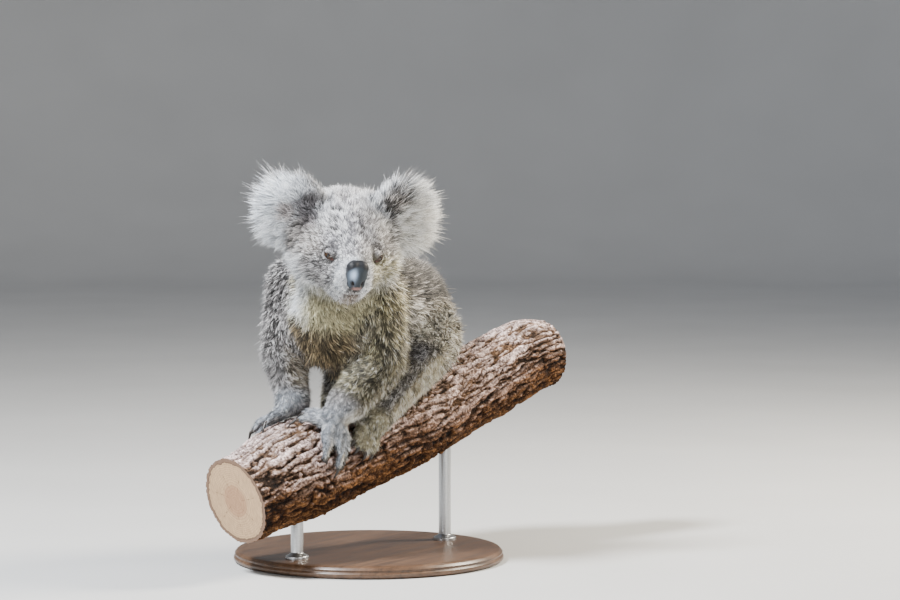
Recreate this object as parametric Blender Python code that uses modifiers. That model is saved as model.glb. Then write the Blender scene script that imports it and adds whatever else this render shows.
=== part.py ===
"""A koala sitting on a cut length of branch, held over a round display base by two rods.

Metres, +Z up. The trunk faces -Y and the animal's left side is towards +X; the head is turned
to its left. The origin is the centre of the base's underside. Every fleshy form is a union of
ellipsoids and tapered limbs, remeshed into one skin, then parted into the animal's named parts.
"""

import math

import bmesh
import bpy
from mathutils import Matrix, Vector

GAP = 0.0003  # clearance between solids that meet

# The perch: a branch that climbs towards +Y and thins as it goes. Its centre line starts at
# PERCH_FOOT, and its slope and its bend are given for each metre along Y.
PERCH_FOOT = Vector((-0.053, -0.265, 0.103))
PERCH_DRIFT = (0.235, 0.04)  # slope and bend towards +X
PERCH_CLIMB = (0.15, 0.26)  # slope and bend upwards
PERCH_LOW, PERCH_HIGH = -0.235, 0.275  # the two sawn ends, along Y
PERCH_RADIUS = 0.064
PERCH_TAPER = 0.036  # loss of radius per metre beyond PERCH_TAPER_FROM
PERCH_TAPER_FROM = -0.130
PERCH_SWELL, PERCH_SWELL_LENGTH = 0.0014, 0.170  # a slow swelling along the branch
PERCH_DIP, PERCH_DIP_AT, PERCH_DIP_REACH = 0.013, -0.212, 0.038  # a hollow in its line near the low end
PERCH_NARROWS, PERCH_NARROWS_FROM, PERCH_NARROWS_OVER = 0.006, -0.140, 0.060  # the low end is thinner
PERCH_RINGS, PERCH_SIDES = 17, 16

# The display stand.
BASE_RADIUS, BASE_THICKNESS, BASE_BEVEL = 0.175, 0.016, 0.003
ROD_RADIUS = 0.008
ROD_PLACES = {"front": -0.130, "rear": 0.115}  # where each rod meets the perch, along Y

# The head: its centre, how far it turns to the animal's left, dips and leans to its left.
HEAD_CENTRE = Vector((0.037, -0.107, 0.419))
HEAD_TURN, HEAD_DIP, HEAD_LEAN = math.radians(48.5), math.radians(16), math.radians(3.5)
EAR_FLARE = math.radians(14)  # how far each ear's face turns outwards

# Joint centres and the radii of the furred limb there.
ARM = {
    "left": {"shoulder": (0.052, -0.062, 0.346), "elbow": (0.060, -0.053, 0.268), "wrist": (0.0395, -0.101, 0.2165)},
    "right": {"shoulder": (-0.061, -0.076, 0.357), "elbow": (-0.066, -0.096, 0.272), "wrist": (-0.037, -0.115, 0.217)},
}
ARM_RADII = {"left": (0.041, 0.031, 0.0265), "right": (0.041, 0.031, 0.0230)}
LEG = {
    "left": {"hip": (0.033, 0.076, 0.286), "knee": (0.071, 0.028, 0.262)},
    "right": {"hip": (-0.034, 0.082, 0.286), "knee": (-0.066, 0.040, 0.262)},
}
LEG_RADII = (0.054, 0.031, 0.0165)

# Digits, as stations on the bark: (distance along Y, degrees round from the top towards +X).
# Each has a root, an end and, where it has a claw, the claw's tip.
HANDS = {
    "left": {
        "palm": (-0.100, 38),
        "digits": {
            "1": [(-0.100, 24), (-0.112, 10), (-0.121, 3)],
            "2": [(-0.113, 31), (-0.130, 18), (-0.143, 12)],
            "3": [(-0.121, 51), (-0.136, 70), (-0.131, 80)],
            "4": [(-0.105, 56), (-0.122, 83), (-0.126, 97)],
            "5": [(-0.095, 60), (-0.110, 79), (-0.115, 91)],
        },
    },
    "right": {
        "palm": (-0.113, -12),
        "digits": {
            "1": [(-0.104, -24), (-0.088, -33), (-0.077, -39)],
            "2": [(-0.106, -10), (-0.088, -15), (-0.076, -19)],
            "3": [(-0.130, -9), (-0.150, -9), (-0.161, -7)],
            "4": [(-0.129, -25), (-0.149, -38), (-0.157, -49)],
            "5": [(-0.120, -39), (-0.136, -60), (-0.141, -72)],
        },
    },
}
FEET = {
    "left": {
        "ankle": (-0.045, 58),
        "digits": {
            "1": [(-0.057, 46), (-0.070, 36)],
            "2": [(-0.069, 57), (-0.082, 64), (-0.091, 70)],
            "3": [(-0.069, 63), (-0.081, 72), (-0.087, 80)],
            "4": [(-0.062, 68), (-0.073, 80), (-0.077, 90)],
            "5": [(-0.053, 71), (-0.063, 84), (-0.066, 95)],
        },
    },
    "right": {
        "ankle": (-0.004, -60),
        "digits": {
            "1": [(-0.022, -48), (-0.038, -36)],
            "2": [(-0.032, -62), (-0.050, -68), (-0.060, -72)],
            "3": [(-0.030, -67), (-0.047, -75), (-0.055, -82)],
            "4": [(-0.021, -74), (-0.034, -86), (-0.038, -97)],
            "5": [(-0.010, -78), (-0.020, -92), (-0.022, -103)],
        },
    },
}
# The trunk from chest to rump, as (centre, radii), and the neck from the shoulders to the nape.
TRUNK = [
    (Vector((-0.004, -0.068, 0.324)), (0.067, 0.070, 0.076)),
    (Vector((-0.001, 0.005, 0.333)), (0.073, 0.074, 0.081)),
    (Vector((-0.001, 0.070, 0.315)), (0.072, 0.073, 0.079)),
    (Vector((-0.001, 0.112, 0.280)), (0.060, 0.056, 0.056)),
]
LAP = (Vector((-0.001, -0.004, 0.277)), (0.054, 0.074, 0.056))  # the belly, hanging down to the perch
NECK = [
    (Vector((-0.002, -0.040, 0.353)), 0.064),
    (Vector((0.012, -0.074, 0.378)), 0.064),
    (Vector((0.031, -0.096, 0.405)), 0.061),
]
NECK_CUT = Vector((0.006, -0.078, 0.384))  # where the neck leaves the trunk
NECK_CUT_FACES = Vector((0.30, -0.42, 0.86)).normalized()
ANKLE_CUT = 0.012  # the foot starts this far above the ankle's centre
PALM_LIFT, PALM_RADIUS = 0.015, 0.0145
ROOT_LIFT, ROOT_RADIUS = 0.0085, 0.0078
END_LIFT, END_RADIUS = 0.0062, 0.0052
KNUCKLE_RISE = 0.004  # how far a digit arches off the bark halfway along
CLAW_RADIUS = 0.0024

# Fineness: the triangles kept for each form before it is parted and carved.
TRIANGLES = {"head": 760, "ear": 190, "trunk": 780, "arm": 545, "leg": 450, "nose": 150}

COLOURS = {
    "coat_grey": ((0.36, 0.35, 0.34, 1), 0.95, 0),
    "coat_pale": ((0.66, 0.64, 0.58, 1), 0.95, 0),
    "nose_leather": ((0.12, 0.13, 0.16, 1), 0.45, 0),
    "eye_brown": ((0.10, 0.05, 0.02, 1), 0.10, 0),
    "claw_horn": ((0.06, 0.05, 0.05, 1), 0.35, 0),
    "bark": ((0.33, 0.21, 0.14, 1), 0.90, 0),
    "stand_wood": ((0.20, 0.15, 0.11, 1), 0.50, 0),
    "stand_steel": ((0.60, 0.60, 0.60, 1), 0.30, 1),
}


def clear_scene():
    for obj in list(bpy.data.objects):
        bpy.data.objects.remove(obj)


def make_collections():
    found = {}
    for name in ("koala", "helpers"):
        found[name] = bpy.data.collections.new(name)
        bpy.context.scene.collection.children.link(found[name])
    return found


def make_materials():
    made = {}
    for name, (colour, roughness, metallic) in COLOURS.items():
        material = bpy.data.materials.new(name)
        material.use_nodes = True
        shader = material.node_tree.nodes["Principled BSDF"]
        shader.inputs["Base Color"].default_value = colour
        shader.inputs["Roughness"].default_value = roughness
        shader.inputs["Metallic"].default_value = metallic
        made[name] = material
    return made


clear_scene()
COLLECTIONS = make_collections()
MATERIALS = make_materials()
SETTLED = []  # the finished solids, in the order in which they were made


# ---- the perch's own coordinates ----


def perch_centre(y):
    run = y - PERCH_FOOT.y
    drift, climb = (slope * run + bend * run**2 for slope, bend in (PERCH_DRIFT, PERCH_CLIMB))
    dip = PERCH_DIP * math.exp(-(((y - PERCH_DIP_AT) / PERCH_DIP_REACH) ** 2))
    return Vector((PERCH_FOOT.x + drift, y, PERCH_FOOT.z + climb - dip))


def perch_radius(y):
    swelling = PERCH_SWELL * math.sin(math.tau * y / PERCH_SWELL_LENGTH)
    share = min(max((PERCH_NARROWS_FROM - y) / PERCH_NARROWS_OVER, 0), 1)
    thinner = PERCH_NARROWS * share * share * (3 - 2 * share)
    return PERCH_RADIUS - PERCH_TAPER * max(y - PERCH_TAPER_FROM, 0) + swelling - thinner


def perch_axes(y):
    """The branch's direction, its level side towards +X and its own upward direction."""
    along = (perch_centre(y + 0.001) - perch_centre(y - 0.001)).normalized()
    side = along.cross(Vector((0, 0, 1))).normalized()
    return along, side, side.cross(along)


def on_bark(y, degrees, lift=0.0):
    """The point at that distance off the bark, degrees round from the top towards +X."""
    _, side, up = perch_axes(y)
    angle = math.radians(degrees)
    return perch_centre(y) + (perch_radius(y) + lift) * (math.cos(angle) * up + math.sin(angle) * side)


# ---- making and joining forms ----


def object_of(name, bm, collection="helpers"):
    mesh = bpy.data.meshes.new(name)
    bm.to_mesh(mesh)
    bm.free()
    obj = bpy.data.objects.new(name, mesh)
    COLLECTIONS[collection].objects.link(obj)
    return obj


def bake(obj):
    """The object's modifiers applied, by putting its evaluated mesh in place of its own."""
    bpy.context.view_layer.update()
    graph = bpy.context.evaluated_depsgraph_get()
    mesh = bpy.data.meshes.new_from_object(obj.evaluated_get(graph))
    obj.modifiers.clear()
    obj.data = mesh
    return obj


def ellipsoid(bm, centre, radii, turn=None):
    """Adds an ellipsoid with those radii along its own axes, turned by a 3 x 3 matrix."""
    turn = (turn or Matrix.Identity(3)).to_4x4()
    place = Matrix.Translation(centre) @ turn @ Matrix.Diagonal((*radii, 1))
    bmesh.ops.create_uvsphere(bm, u_segments=28, v_segments=16, radius=1, matrix=place)


def hull(bm, *forms):
    """Adds the convex hull of two or more ellipsoids, each a (centre, radii)."""
    ball = bmesh.new()
    for centre, radii in forms:
        place = Matrix.Translation(centre) @ Matrix.Diagonal((*radii, 1))
        bmesh.ops.create_uvsphere(ball, u_segments=16, v_segments=10, radius=1, matrix=place)
    bmesh.ops.delete(ball, geom=ball.edges[:] + ball.faces[:], context="EDGES_FACES")
    made = bmesh.ops.convex_hull(ball, input=ball.verts)
    inner = {item for item in made["geom_interior"] if isinstance(item, bmesh.types.BMVert)}
    bmesh.ops.delete(ball, geom=list(inner), context="VERTS")
    mesh = bpy.data.meshes.new("hull")
    ball.to_mesh(mesh)
    ball.free()
    bm.from_mesh(mesh)
    bpy.data.meshes.remove(mesh)


def limb(bm, start, start_radius, end, end_radius):
    """Adds a tapered limb: the convex hull of a ball at each end."""
    hull(bm, (start, (start_radius,) * 3), (end, (end_radius,) * 3))


def chain(bm, stations):
    """Adds limbs end to end through (point, radius) stations."""
    for (start, start_radius), (end, end_radius) in zip(stations, stations[1:]):
        limb(bm, start, start_radius, end, end_radius)


def soften(obj, voxel, rounds, triangles):
    """One closed skin over the object's overlapping forms, smoothed and reduced."""
    remesh = obj.modifiers.new("one_skin", "REMESH")
    remesh.mode = "VOXEL"
    remesh.voxel_size = voxel
    smooth = obj.modifiers.new("soft_joins", "SMOOTH")
    smooth.iterations = rounds
    bake(obj)
    obj.modifiers.new("triangles", "TRIANGULATE")
    bake(obj)
    reduce = obj.modifiers.new("few_faces", "DECIMATE")
    reduce.ratio = min(triangles / len(obj.data.polygons), 1)
    return bake(obj)


def keep_largest_body(obj):
    bm = bmesh.new()
    bm.from_mesh(obj.data)
    waiting, bodies = set(bm.verts), []
    while waiting:
        body, edge = set(), [waiting.pop()]
        while edge:
            vertex = edge.pop()
            body.add(vertex)
            for other in (link.other_vert(vertex) for link in vertex.link_edges):
                if other in waiting:
                    waiting.discard(other)
                    edge.append(other)
        bodies.append(body)
    bodies.sort(key=len)
    bmesh.ops.delete(bm, geom=[v for body in bodies[:-1] for v in body], context="VERTS")
    bm.to_mesh(obj.data)
    bm.free()


def box_of(obj):
    corners = [obj.matrix_world @ vertex.co for vertex in obj.data.vertices]
    return [(min(c[i] for c in corners), max(c[i] for c in corners)) for i in range(3)]


def boxes_meet(first, second):
    return all(a[0] <= b[1] + 2 * GAP and b[0] <= a[1] + 2 * GAP for a, b in zip(box_of(first), box_of(second)))


def swollen(obj):
    """A copy of a solid grown by the gap, to cut its neighbours with."""
    copy = bpy.data.objects.new(obj.name + "_cutter", obj.data.copy())
    COLLECTIONS["helpers"].objects.link(copy)
    grow = copy.modifiers.new("gap", "DISPLACE")
    grow.strength = GAP
    grow.mid_level = 0
    return bake(copy)


def carve(obj, others):
    """Cuts the other solids out of this one, each with its gap."""
    for other in others:
        if not boxes_meet(obj, other):
            continue
        cutter = swollen(other)
        cut = obj.modifiers.new("room_for_" + other.name, "BOOLEAN")
        cut.operation = "DIFFERENCE"
        cut.object = cutter
        bake(obj)
        bpy.data.objects.remove(cutter)
    keep_largest_body(obj)
    return obj


def settle(obj, name, material):
    """Makes the object a finished solid of the animal."""
    obj.name = name
    obj.data.name = name
    obj.data.materials.clear()
    obj.data.materials.append(MATERIALS[material])
    for collection in list(obj.users_collection):
        collection.objects.unlink(obj)
    COLLECTIONS["koala"].objects.link(obj)
    obj.data.shade_smooth()
    obj.data.set_sharp_from_angle(angle=math.radians(50))
    SETTLED.append(obj)
    return obj


def settle_parts(parts, material, but=()):
    """Carves each part of one form by all that was settled before them, apart from its neighbours."""
    others = [obj for obj in SETTLED if obj not in but]
    for name, obj in parts.items():
        settle(carve(obj, others), name, material)


def halve(obj, point, normal):
    """The two sides of the object at a plane, as (behind, ahead), with a thin gap between them."""
    sides = []
    for sign in (1, -1):
        bm = bmesh.new()
        bm.from_mesh(obj.data)
        bmesh.ops.bisect_plane(
            bm,
            geom=bm.verts[:] + bm.edges[:] + bm.faces[:],
            plane_co=point - normal * (sign * GAP / 2),
            plane_no=normal * sign,
            clear_outer=True,
        )
        rim = [edge for edge in bm.edges if edge.is_boundary]
        bmesh.ops.holes_fill(bm, edges=rim, sides=0)
        bmesh.ops.recalc_face_normals(bm, faces=bm.faces)
        side = object_of("side", bm)
        keep_largest_body(side)
        sides.append(side)
    bpy.data.objects.remove(obj)
    return sides


# ---- the perch and its stand ----


def tube(name, points, radii, sides):
    """A mesh tube through the points, with flat ends and a radius at each."""
    curve = bpy.data.curves.new(name, "CURVE")
    curve.dimensions = "3D"
    curve.bevel_depth = 1
    curve.bevel_resolution = sides // 2 - 2
    curve.use_fill_caps = True
    spline = curve.splines.new("POLY")
    spline.points.add(len(points) - 1)
    for point, place, radius in zip(spline.points, points, radii):
        point.co = (*place, 1)
        point.radius = radius
    guide = bpy.data.objects.new(name + "_guide", curve)
    COLLECTIONS["helpers"].objects.link(guide)
    bpy.context.view_layer.update()
    mesh = bpy.data.meshes.new_from_object(guide.evaluated_get(bpy.context.evaluated_depsgraph_get()))
    bpy.data.objects.remove(guide)
    bm = bmesh.new()
    bm.from_mesh(mesh)
    bmesh.ops.remove_doubles(bm, verts=bm.verts, dist=1e-6)
    bmesh.ops.recalc_face_normals(bm, faces=bm.faces)
    bpy.data.meshes.remove(mesh)
    return object_of(name, bm)


def make_perch():
    steps = [i / (PERCH_RINGS - 1) for i in range(PERCH_RINGS)]
    along = [PERCH_LOW + (PERCH_HIGH - PERCH_LOW) * step for step in steps]
    perch = tube("perch", [perch_centre(y) for y in along], [perch_radius(y) for y in along], PERCH_SIDES)
    settle(perch, "perch", "bark")


def make_stand():
    bm = bmesh.new()
    bmesh.ops.create_cone(
        bm, cap_ends=True, segments=30, radius1=BASE_RADIUS, radius2=BASE_RADIUS, depth=BASE_THICKNESS,
        matrix=Matrix.Translation((0, 0, BASE_THICKNESS / 2)),
    )
    rim = [edge for edge in bm.edges if all(v.co.z > BASE_THICKNESS / 2 for v in edge.verts)]
    bmesh.ops.bevel(bm, geom=rim, offset=BASE_BEVEL, segments=1, affect="EDGES", profile=0.5)
    settle(object_of("stand_base", bm), "stand_base", "stand_wood")
    for name, y in ROD_PLACES.items():
        centre = perch_centre(y)
        foot, head = BASE_THICKNESS + GAP, centre.z
        bm = bmesh.new()
        bmesh.ops.create_cone(
            bm, cap_ends=True, segments=16, radius1=ROD_RADIUS, radius2=ROD_RADIUS, depth=head - foot,
            matrix=Matrix.Translation((centre.x, centre.y, (head + foot) / 2)),
        )
        rod = carve(object_of("rod", bm), [SETTLED[0]])
        settle(rod, "stand_rod_" + name, "stand_steel")


# ---- digits, hands and feet ----


def digit_stations(root, end):
    """A digit's root, its raised knuckle and its end, as (point, radius)."""
    middle = ((root[0] + end[0]) / 2, (root[1] + end[1]) / 2)
    knuckle_lift = (ROOT_LIFT + END_LIFT) / 2 + KNUCKLE_RISE
    return [
        (on_bark(*root, ROOT_LIFT), ROOT_RADIUS),
        (on_bark(*middle, knuckle_lift), (ROOT_RADIUS + END_RADIUS) / 2),
        (on_bark(*end, END_LIFT), END_RADIUS),
    ]


def make_claw(name, end, tip):
    """A curved claw: it leaves the digit's end level with the bark, then hooks down to it."""
    shape = ((-0.15, 0.9, 1.0), (0.30, 1.35, 0.95), (0.68, 1.0, 0.68), (1.0, 0.32, 0.22))
    points, radii = [], []
    for share, height, width in shape:
        y = end[0] + (tip[0] - end[0]) * share
        degrees = end[1] + (tip[1] - end[1]) * share
        points.append(on_bark(y, degrees, END_LIFT * height))
        radii.append(CLAW_RADIUS * width)
    settle(tube(name, points, radii, 6), name, "claw_horn")


def make_claws():
    for kind, sets in (("hand", HANDS), ("foot", FEET)):
        for side, data in sets.items():
            for digit, stations in data["digits"].items():
                if len(stations) == 3:
                    make_claw(f"claw_{kind}_{side}_{digit}", *stations[1:])


def joint_normal(before, joint, after):
    """The plane between two segments of a limb faces the mean of their directions."""
    return ((joint - before).normalized() + (after - joint).normalized()).normalized()


def make_arm(side):
    shoulder, elbow, wrist = (Vector(ARM[side][joint]) for joint in ("shoulder", "elbow", "wrist"))
    palm = on_bark(*HANDS[side]["palm"], PALM_LIFT)
    bm = bmesh.new()
    chain(bm, list(zip((shoulder, elbow, wrist, palm), (*ARM_RADII[side], PALM_RADIUS))))
    for stations in HANDS[side]["digits"].values():
        chain(bm, [(palm, PALM_RADIUS * 0.75), *digit_stations(*stations[:2])])
    arm = soften(object_of("arm", bm), 0.0022, 4, TRIANGLES["arm"])
    upper, rest = halve(arm, elbow, joint_normal(shoulder, elbow, wrist))
    fore, hand = halve(rest, wrist, joint_normal(elbow, wrist, palm))
    settle_parts({"upper_arm_" + side: upper, "forearm_" + side: fore}, "coat_grey")
    settle_parts({"hand_" + side: hand}, "coat_pale", but=(fore,))


def make_leg(side):
    hip, knee = (Vector(LEG[side][joint]) for joint in ("hip", "knee"))
    ankle = on_bark(*FEET[side]["ankle"], PALM_LIFT + 0.004)
    bm = bmesh.new()
    chain(bm, list(zip((hip, knee, ankle), LEG_RADII)))
    for stations in FEET[side]["digits"].values():
        chain(bm, [(ankle, LEG_RADII[2] * 0.6), *digit_stations(*stations[:2])])
    leg = soften(object_of("leg", bm), 0.0024, 4, TRIANGLES["leg"])
    thigh, rest = halve(leg, knee, joint_normal(hip, knee, ankle))
    down = (ankle - knee).normalized()
    shank, foot = halve(rest, ankle - down * ANKLE_CUT, down)
    settle_parts({"thigh_" + side: thigh, "shank_" + side: shank}, "coat_grey")
    settle_parts({"foot_" + side: foot}, "coat_pale", but=(shank,))


# ---- the head ----

HEAD_AXES = (
    Matrix.Rotation(HEAD_TURN, 3, "Z") @ Matrix.Rotation(HEAD_DIP, 3, "X") @ Matrix.Rotation(HEAD_LEAN, 3, "Y")
)


def in_head(x, y, z):
    """A point given from the head's centre: x to its left, y backwards, z upwards."""
    return HEAD_CENTRE + HEAD_AXES @ Vector((x, y, z))


def make_eyes_and_nose():
    for side, sign in (("left", 1), ("right", -1)):
        bm = bmesh.new()
        bmesh.ops.create_uvsphere(
            bm, u_segments=10, v_segments=7, radius=0.0085,
            matrix=Matrix.Translation(in_head(sign * 0.0285, -0.0490, -0.0045)),
        )
        settle(object_of("eye", bm), "eye_" + side, "eye_brown")
    bm = bmesh.new()
    ellipsoid(bm, in_head(0, -0.076, -0.0170), (0.0138, 0.0110, 0.0175), HEAD_AXES @ Matrix.Rotation(-0.30, 3, "X"))
    for sign in (1, -1):
        ellipsoid(bm, in_head(sign * 0.0052, -0.0770, -0.0100), (0.0088, 0.0088, 0.0090), HEAD_AXES)
    ellipsoid(bm, in_head(0, -0.078, -0.0310), (0.0115, 0.0090, 0.0075), HEAD_AXES)
    nose = soften(object_of("nose", bm), 0.0013, 5, TRIANGLES["nose"])
    settle(nose, "nose", "nose_leather")


def make_head():
    bm = bmesh.new()
    ellipsoid(bm, in_head(0, 0.012, 0.009), (0.062, 0.062, 0.055), HEAD_AXES)
    ellipsoid(bm, in_head(0, -0.047, -0.026), (0.031, 0.034, 0.034), HEAD_AXES)
    ellipsoid(bm, in_head(0, -0.036, -0.052), (0.025, 0.033, 0.019), HEAD_AXES)
    limb(bm, in_head(0, -0.026, 0.006), 0.031, in_head(0, -0.064, -0.012), 0.019)
    for sign in (1, -1):
        ellipsoid(bm, in_head(sign * 0.034, -0.008, -0.020), (0.036, 0.045, 0.037), HEAD_AXES)
        ellipsoid(bm, in_head(sign * 0.024, -0.033, 0.011), (0.023, 0.019, 0.020), HEAD_AXES)
        limb(bm, in_head(sign * 0.028, -0.016, -0.021), 0.032, in_head(sign * 0.010, -0.050, -0.030), 0.024)
    head = soften(object_of("head", bm), 0.003, 12, TRIANGLES["head"])
    settle(carve(head, SETTLED), "head", "coat_grey")


def make_ear(side, sign):
    """A thick round ear, dished in front, standing off the side of the head."""
    turn = HEAD_AXES @ Matrix.Rotation(sign * EAR_FLARE, 3, "Z")
    centre = in_head(sign * 0.067, 0.002, 0.030)
    bm = bmesh.new()
    ellipsoid(bm, centre, (0.054, 0.024, 0.059), turn)
    limb(bm, in_head(sign * 0.036, 0.010, 0.020), 0.020, centre, 0.020)
    ear = object_of("ear", bm)
    bm = bmesh.new()
    ellipsoid(bm, centre + turn @ Vector((sign * 0.004, -0.033, 0)), (0.036, 0.020, 0.040), turn)
    dish = object_of("dish", bm)
    soften(ear, 0.003, 5, 4 * TRIANGLES["ear"])
    hollow = ear.modifiers.new("dish", "BOOLEAN")
    hollow.operation = "DIFFERENCE"
    hollow.object = dish
    bake(ear)
    bpy.data.objects.remove(dish)
    soften(ear, 0.003, 3, TRIANGLES["ear"])
    settle(carve(ear, SETTLED), "ear_" + side, "coat_pale")


# ---- the trunk and neck ----


def make_trunk():
    bm = bmesh.new()
    for ahead, behind in zip(TRUNK, TRUNK[1:]):
        hull(bm, ahead, behind)
    for form in TRUNK[1:3]:
        hull(bm, form, LAP)
    chain(bm, NECK)
    trunk = soften(object_of("trunk", bm), 0.004, 10, TRIANGLES["trunk"])
    behind, ahead = halve(trunk, NECK_CUT, NECK_CUT_FACES)
    settle_parts({"trunk": behind, "neck": ahead}, "coat_grey")


def main():
    make_perch()
    make_stand()
    make_claws()
    make_eyes_and_nose()
    make_head()
    for side, sign in (("left", 1), ("right", -1)):
        make_ear(side, sign)
    make_trunk()
    for side in ("left", "right"):
        make_arm(side)
    for side in ("left", "right"):
        make_leg(side)
    for obj in COLLECTIONS["helpers"].objects:
        obj.hide_render = True
        obj.display_type = "WIRE"
    print({obj.name: len(obj.data.polygons) for obj in SETTLED if "claw" not in obj.name})


main()
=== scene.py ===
# %% [markdown]
# # A koala on a cut length of branch
# A still, life-size museum model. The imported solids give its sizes, and this file gives its looks:
# one skin over the flesh, a coat of small solid tufts that follow the lie of the fur, wet eyes, a
# bare leathery nose, horn claws, furrowed bark and a plain turned stand.

# %% Load the frame
import math

import bmesh
import bpy
import numpy as np
from mathutils import Matrix, Vector
from mathutils.bvhtree import BVHTree


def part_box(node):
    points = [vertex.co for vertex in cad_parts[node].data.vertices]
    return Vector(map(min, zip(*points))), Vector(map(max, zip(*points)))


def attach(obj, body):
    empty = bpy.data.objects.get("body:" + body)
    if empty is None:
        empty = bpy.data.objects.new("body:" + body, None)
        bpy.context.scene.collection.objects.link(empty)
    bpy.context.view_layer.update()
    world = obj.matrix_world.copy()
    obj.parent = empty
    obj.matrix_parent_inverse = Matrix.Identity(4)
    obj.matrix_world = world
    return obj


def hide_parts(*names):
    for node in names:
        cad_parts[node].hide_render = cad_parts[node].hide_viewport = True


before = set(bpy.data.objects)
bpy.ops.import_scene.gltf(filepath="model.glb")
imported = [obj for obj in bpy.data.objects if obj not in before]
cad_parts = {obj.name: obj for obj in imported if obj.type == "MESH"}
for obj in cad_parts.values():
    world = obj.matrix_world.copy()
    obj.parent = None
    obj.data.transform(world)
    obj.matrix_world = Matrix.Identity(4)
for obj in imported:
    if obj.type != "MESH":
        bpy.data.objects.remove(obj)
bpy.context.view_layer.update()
SIDES = ("left", "right")
rng = np.random.default_rng(33)
print("solids:", len(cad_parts))

# %% [markdown]
# ## Small tools
# A CAD node arrives as loose triangles, so its doubled corners are made one before anything is
# grown from it. Everything that follows works on whole arrays of points: a helper for the normals,
# one for the mean of a point's neighbours, and one for smooth noise in space.


# %% Arrays from the solids
def merged(node):
    """A node's points with doubled corners made one, and its triangles."""
    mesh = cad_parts[node].data
    points = np.empty(len(mesh.vertices) * 3)
    mesh.vertices.foreach_get("co", points)
    mesh.calc_loop_triangles()
    faces = np.empty(len(mesh.loop_triangles) * 3, int)
    mesh.loop_triangles.foreach_get("vertices", faces)
    points, index = np.unique(points.reshape(-1, 3).round(6), axis=0, return_inverse=True)
    faces = index.reshape(-1)[faces].reshape(-1, 3)
    whole = (faces[:, 0] != faces[:, 1]) & (faces[:, 1] != faces[:, 2]) & (faces[:, 0] != faces[:, 2])
    return points, faces[whole]


def middle(node):
    """The middle of a node's box."""
    low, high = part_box(node)
    return (np.array(low) + np.array(high)) / 2


def unit(vectors):
    """Each vector divided by its own length."""
    return vectors / np.maximum(np.linalg.norm(vectors, axis=-1, keepdims=True), 1e-12)


def add_up(index, values, size):
    """Sums rows of values that share an index."""
    return np.stack([np.bincount(index, values[:, k], size) for k in range(values.shape[1])], 1)


def normals_of(points, faces):
    """Each point's normal: the mean of its faces' cross products, so large faces count more."""
    across = np.cross(points[faces[:, 1]] - points[faces[:, 0]], points[faces[:, 2]] - points[faces[:, 0]])
    total = sum(add_up(faces[:, k], across, len(points)) for k in range(faces.shape[1]))
    return unit(total)


def edges_of(faces):
    """The unlike pairs of neighbouring points, once each."""
    pairs = np.concatenate([faces[:, [k, (k + 1) % faces.shape[1]]] for k in range(faces.shape[1])])
    return np.unique(np.sort(pairs, axis=1), axis=0)


def spread(values, edges, rounds, share=0.5):
    """Each value moves a share of the way to the mean of its neighbours, so many times over."""
    size = len(values)
    count = np.maximum(np.bincount(edges.ravel(), minlength=size), 1)[:, None]
    for _ in range(rounds):
        total = add_up(edges[:, 0], values[edges[:, 1]], size)
        total = total + add_up(edges[:, 1], values[edges[:, 0]], size)
        values = values + share * (total / count - values)
    return values


def scramble(cells, seed=0):
    """A random number from 0 to 1 for each whole-numbered cell, always the same for the same cell."""
    mixed = cells[:, 0] * 73856093 ^ cells[:, 1] * 19349663 ^ cells[:, 2] * 83492791 ^ (seed + 1) * 2654435761
    mixed = (mixed ^ (mixed >> 13)) * 1274126177
    return ((mixed ^ (mixed >> 16)) & 0xFFFFFF) / 0xFFFFFF


def noise(points, size, seed=0):
    """Smooth noise from -1 to 1: random numbers on a lattice of that size, blended between its corners."""
    cell = np.floor(points / size).astype(np.int64)
    part = points / size - cell
    part = part * part * (3 - 2 * part)
    total = np.zeros(len(points))
    for corner in np.ndindex(2, 2, 2):
        weight = np.prod(np.where(corner, part, 1 - part), axis=1)
        total += weight * (2 * scramble(cell + corner, seed) - 1)
    return total


def nearest_centre(points, size, seed=0):
    """Of centres scattered one to a cube of that size, the closest one, its own random number, and how
    much closer it is than the next, as a share of the size: 0 on the border between two centres."""
    home = np.floor(points / size).astype(np.int64)
    best, second = np.full((2, len(points)), np.inf)
    centre, own = np.zeros_like(points), np.zeros(len(points))
    for corner in np.ndindex(3, 3, 3):
        cell = home + corner - 1
        place_of = (cell + np.stack([scramble(cell, seed + k) for k in (1, 2, 3)], 1)) * size
        gap = ((place_of - points) ** 2).sum(1)
        closer = gap < best
        second = np.minimum(second, np.where(closer, best, gap))
        best = np.minimum(best, gap)
        centre[closer] = place_of[closer]
        own[closer] = scramble(cell[closer], seed)
    return centre, own, (np.sqrt(second) - np.sqrt(best)) / size


def step(values, start, end):
    """0 before start, 1 after end, and a smooth rise between them."""
    share = np.clip((values - start) / (end - start), 0, 1)
    return share * share * (3 - 2 * share)


def bell(values, centre, width):
    """1 at the centre, falling off as exp(-x^2), where x counts widths from it."""
    return np.exp(-(((values - centre) / width) ** 2))


# %% [markdown]
# ## Putting a piece in the scene
# Every piece is made from arrays and rides on the one body. Colours that change from point to point
# are kept in an attribute named `coat`.


# %% Making a piece
def add_mesh(name, points, faces):
    """A smooth-shaded mesh from an array of points and one of equal-sided faces."""
    mesh = bpy.data.meshes.new(name)
    mesh.vertices.add(len(points))
    mesh.vertices.foreach_set("co", np.asarray(points, np.float32).ravel())
    mesh.loops.add(faces.size)
    mesh.loops.foreach_set("vertex_index", faces.ravel().astype(np.int32))
    mesh.polygons.add(len(faces))
    mesh.polygons.foreach_set("loop_start", np.arange(0, faces.size, faces.shape[1], dtype=np.int32))
    mesh.update(calc_edges=True)
    mesh.shade_smooth()
    return mesh


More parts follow.
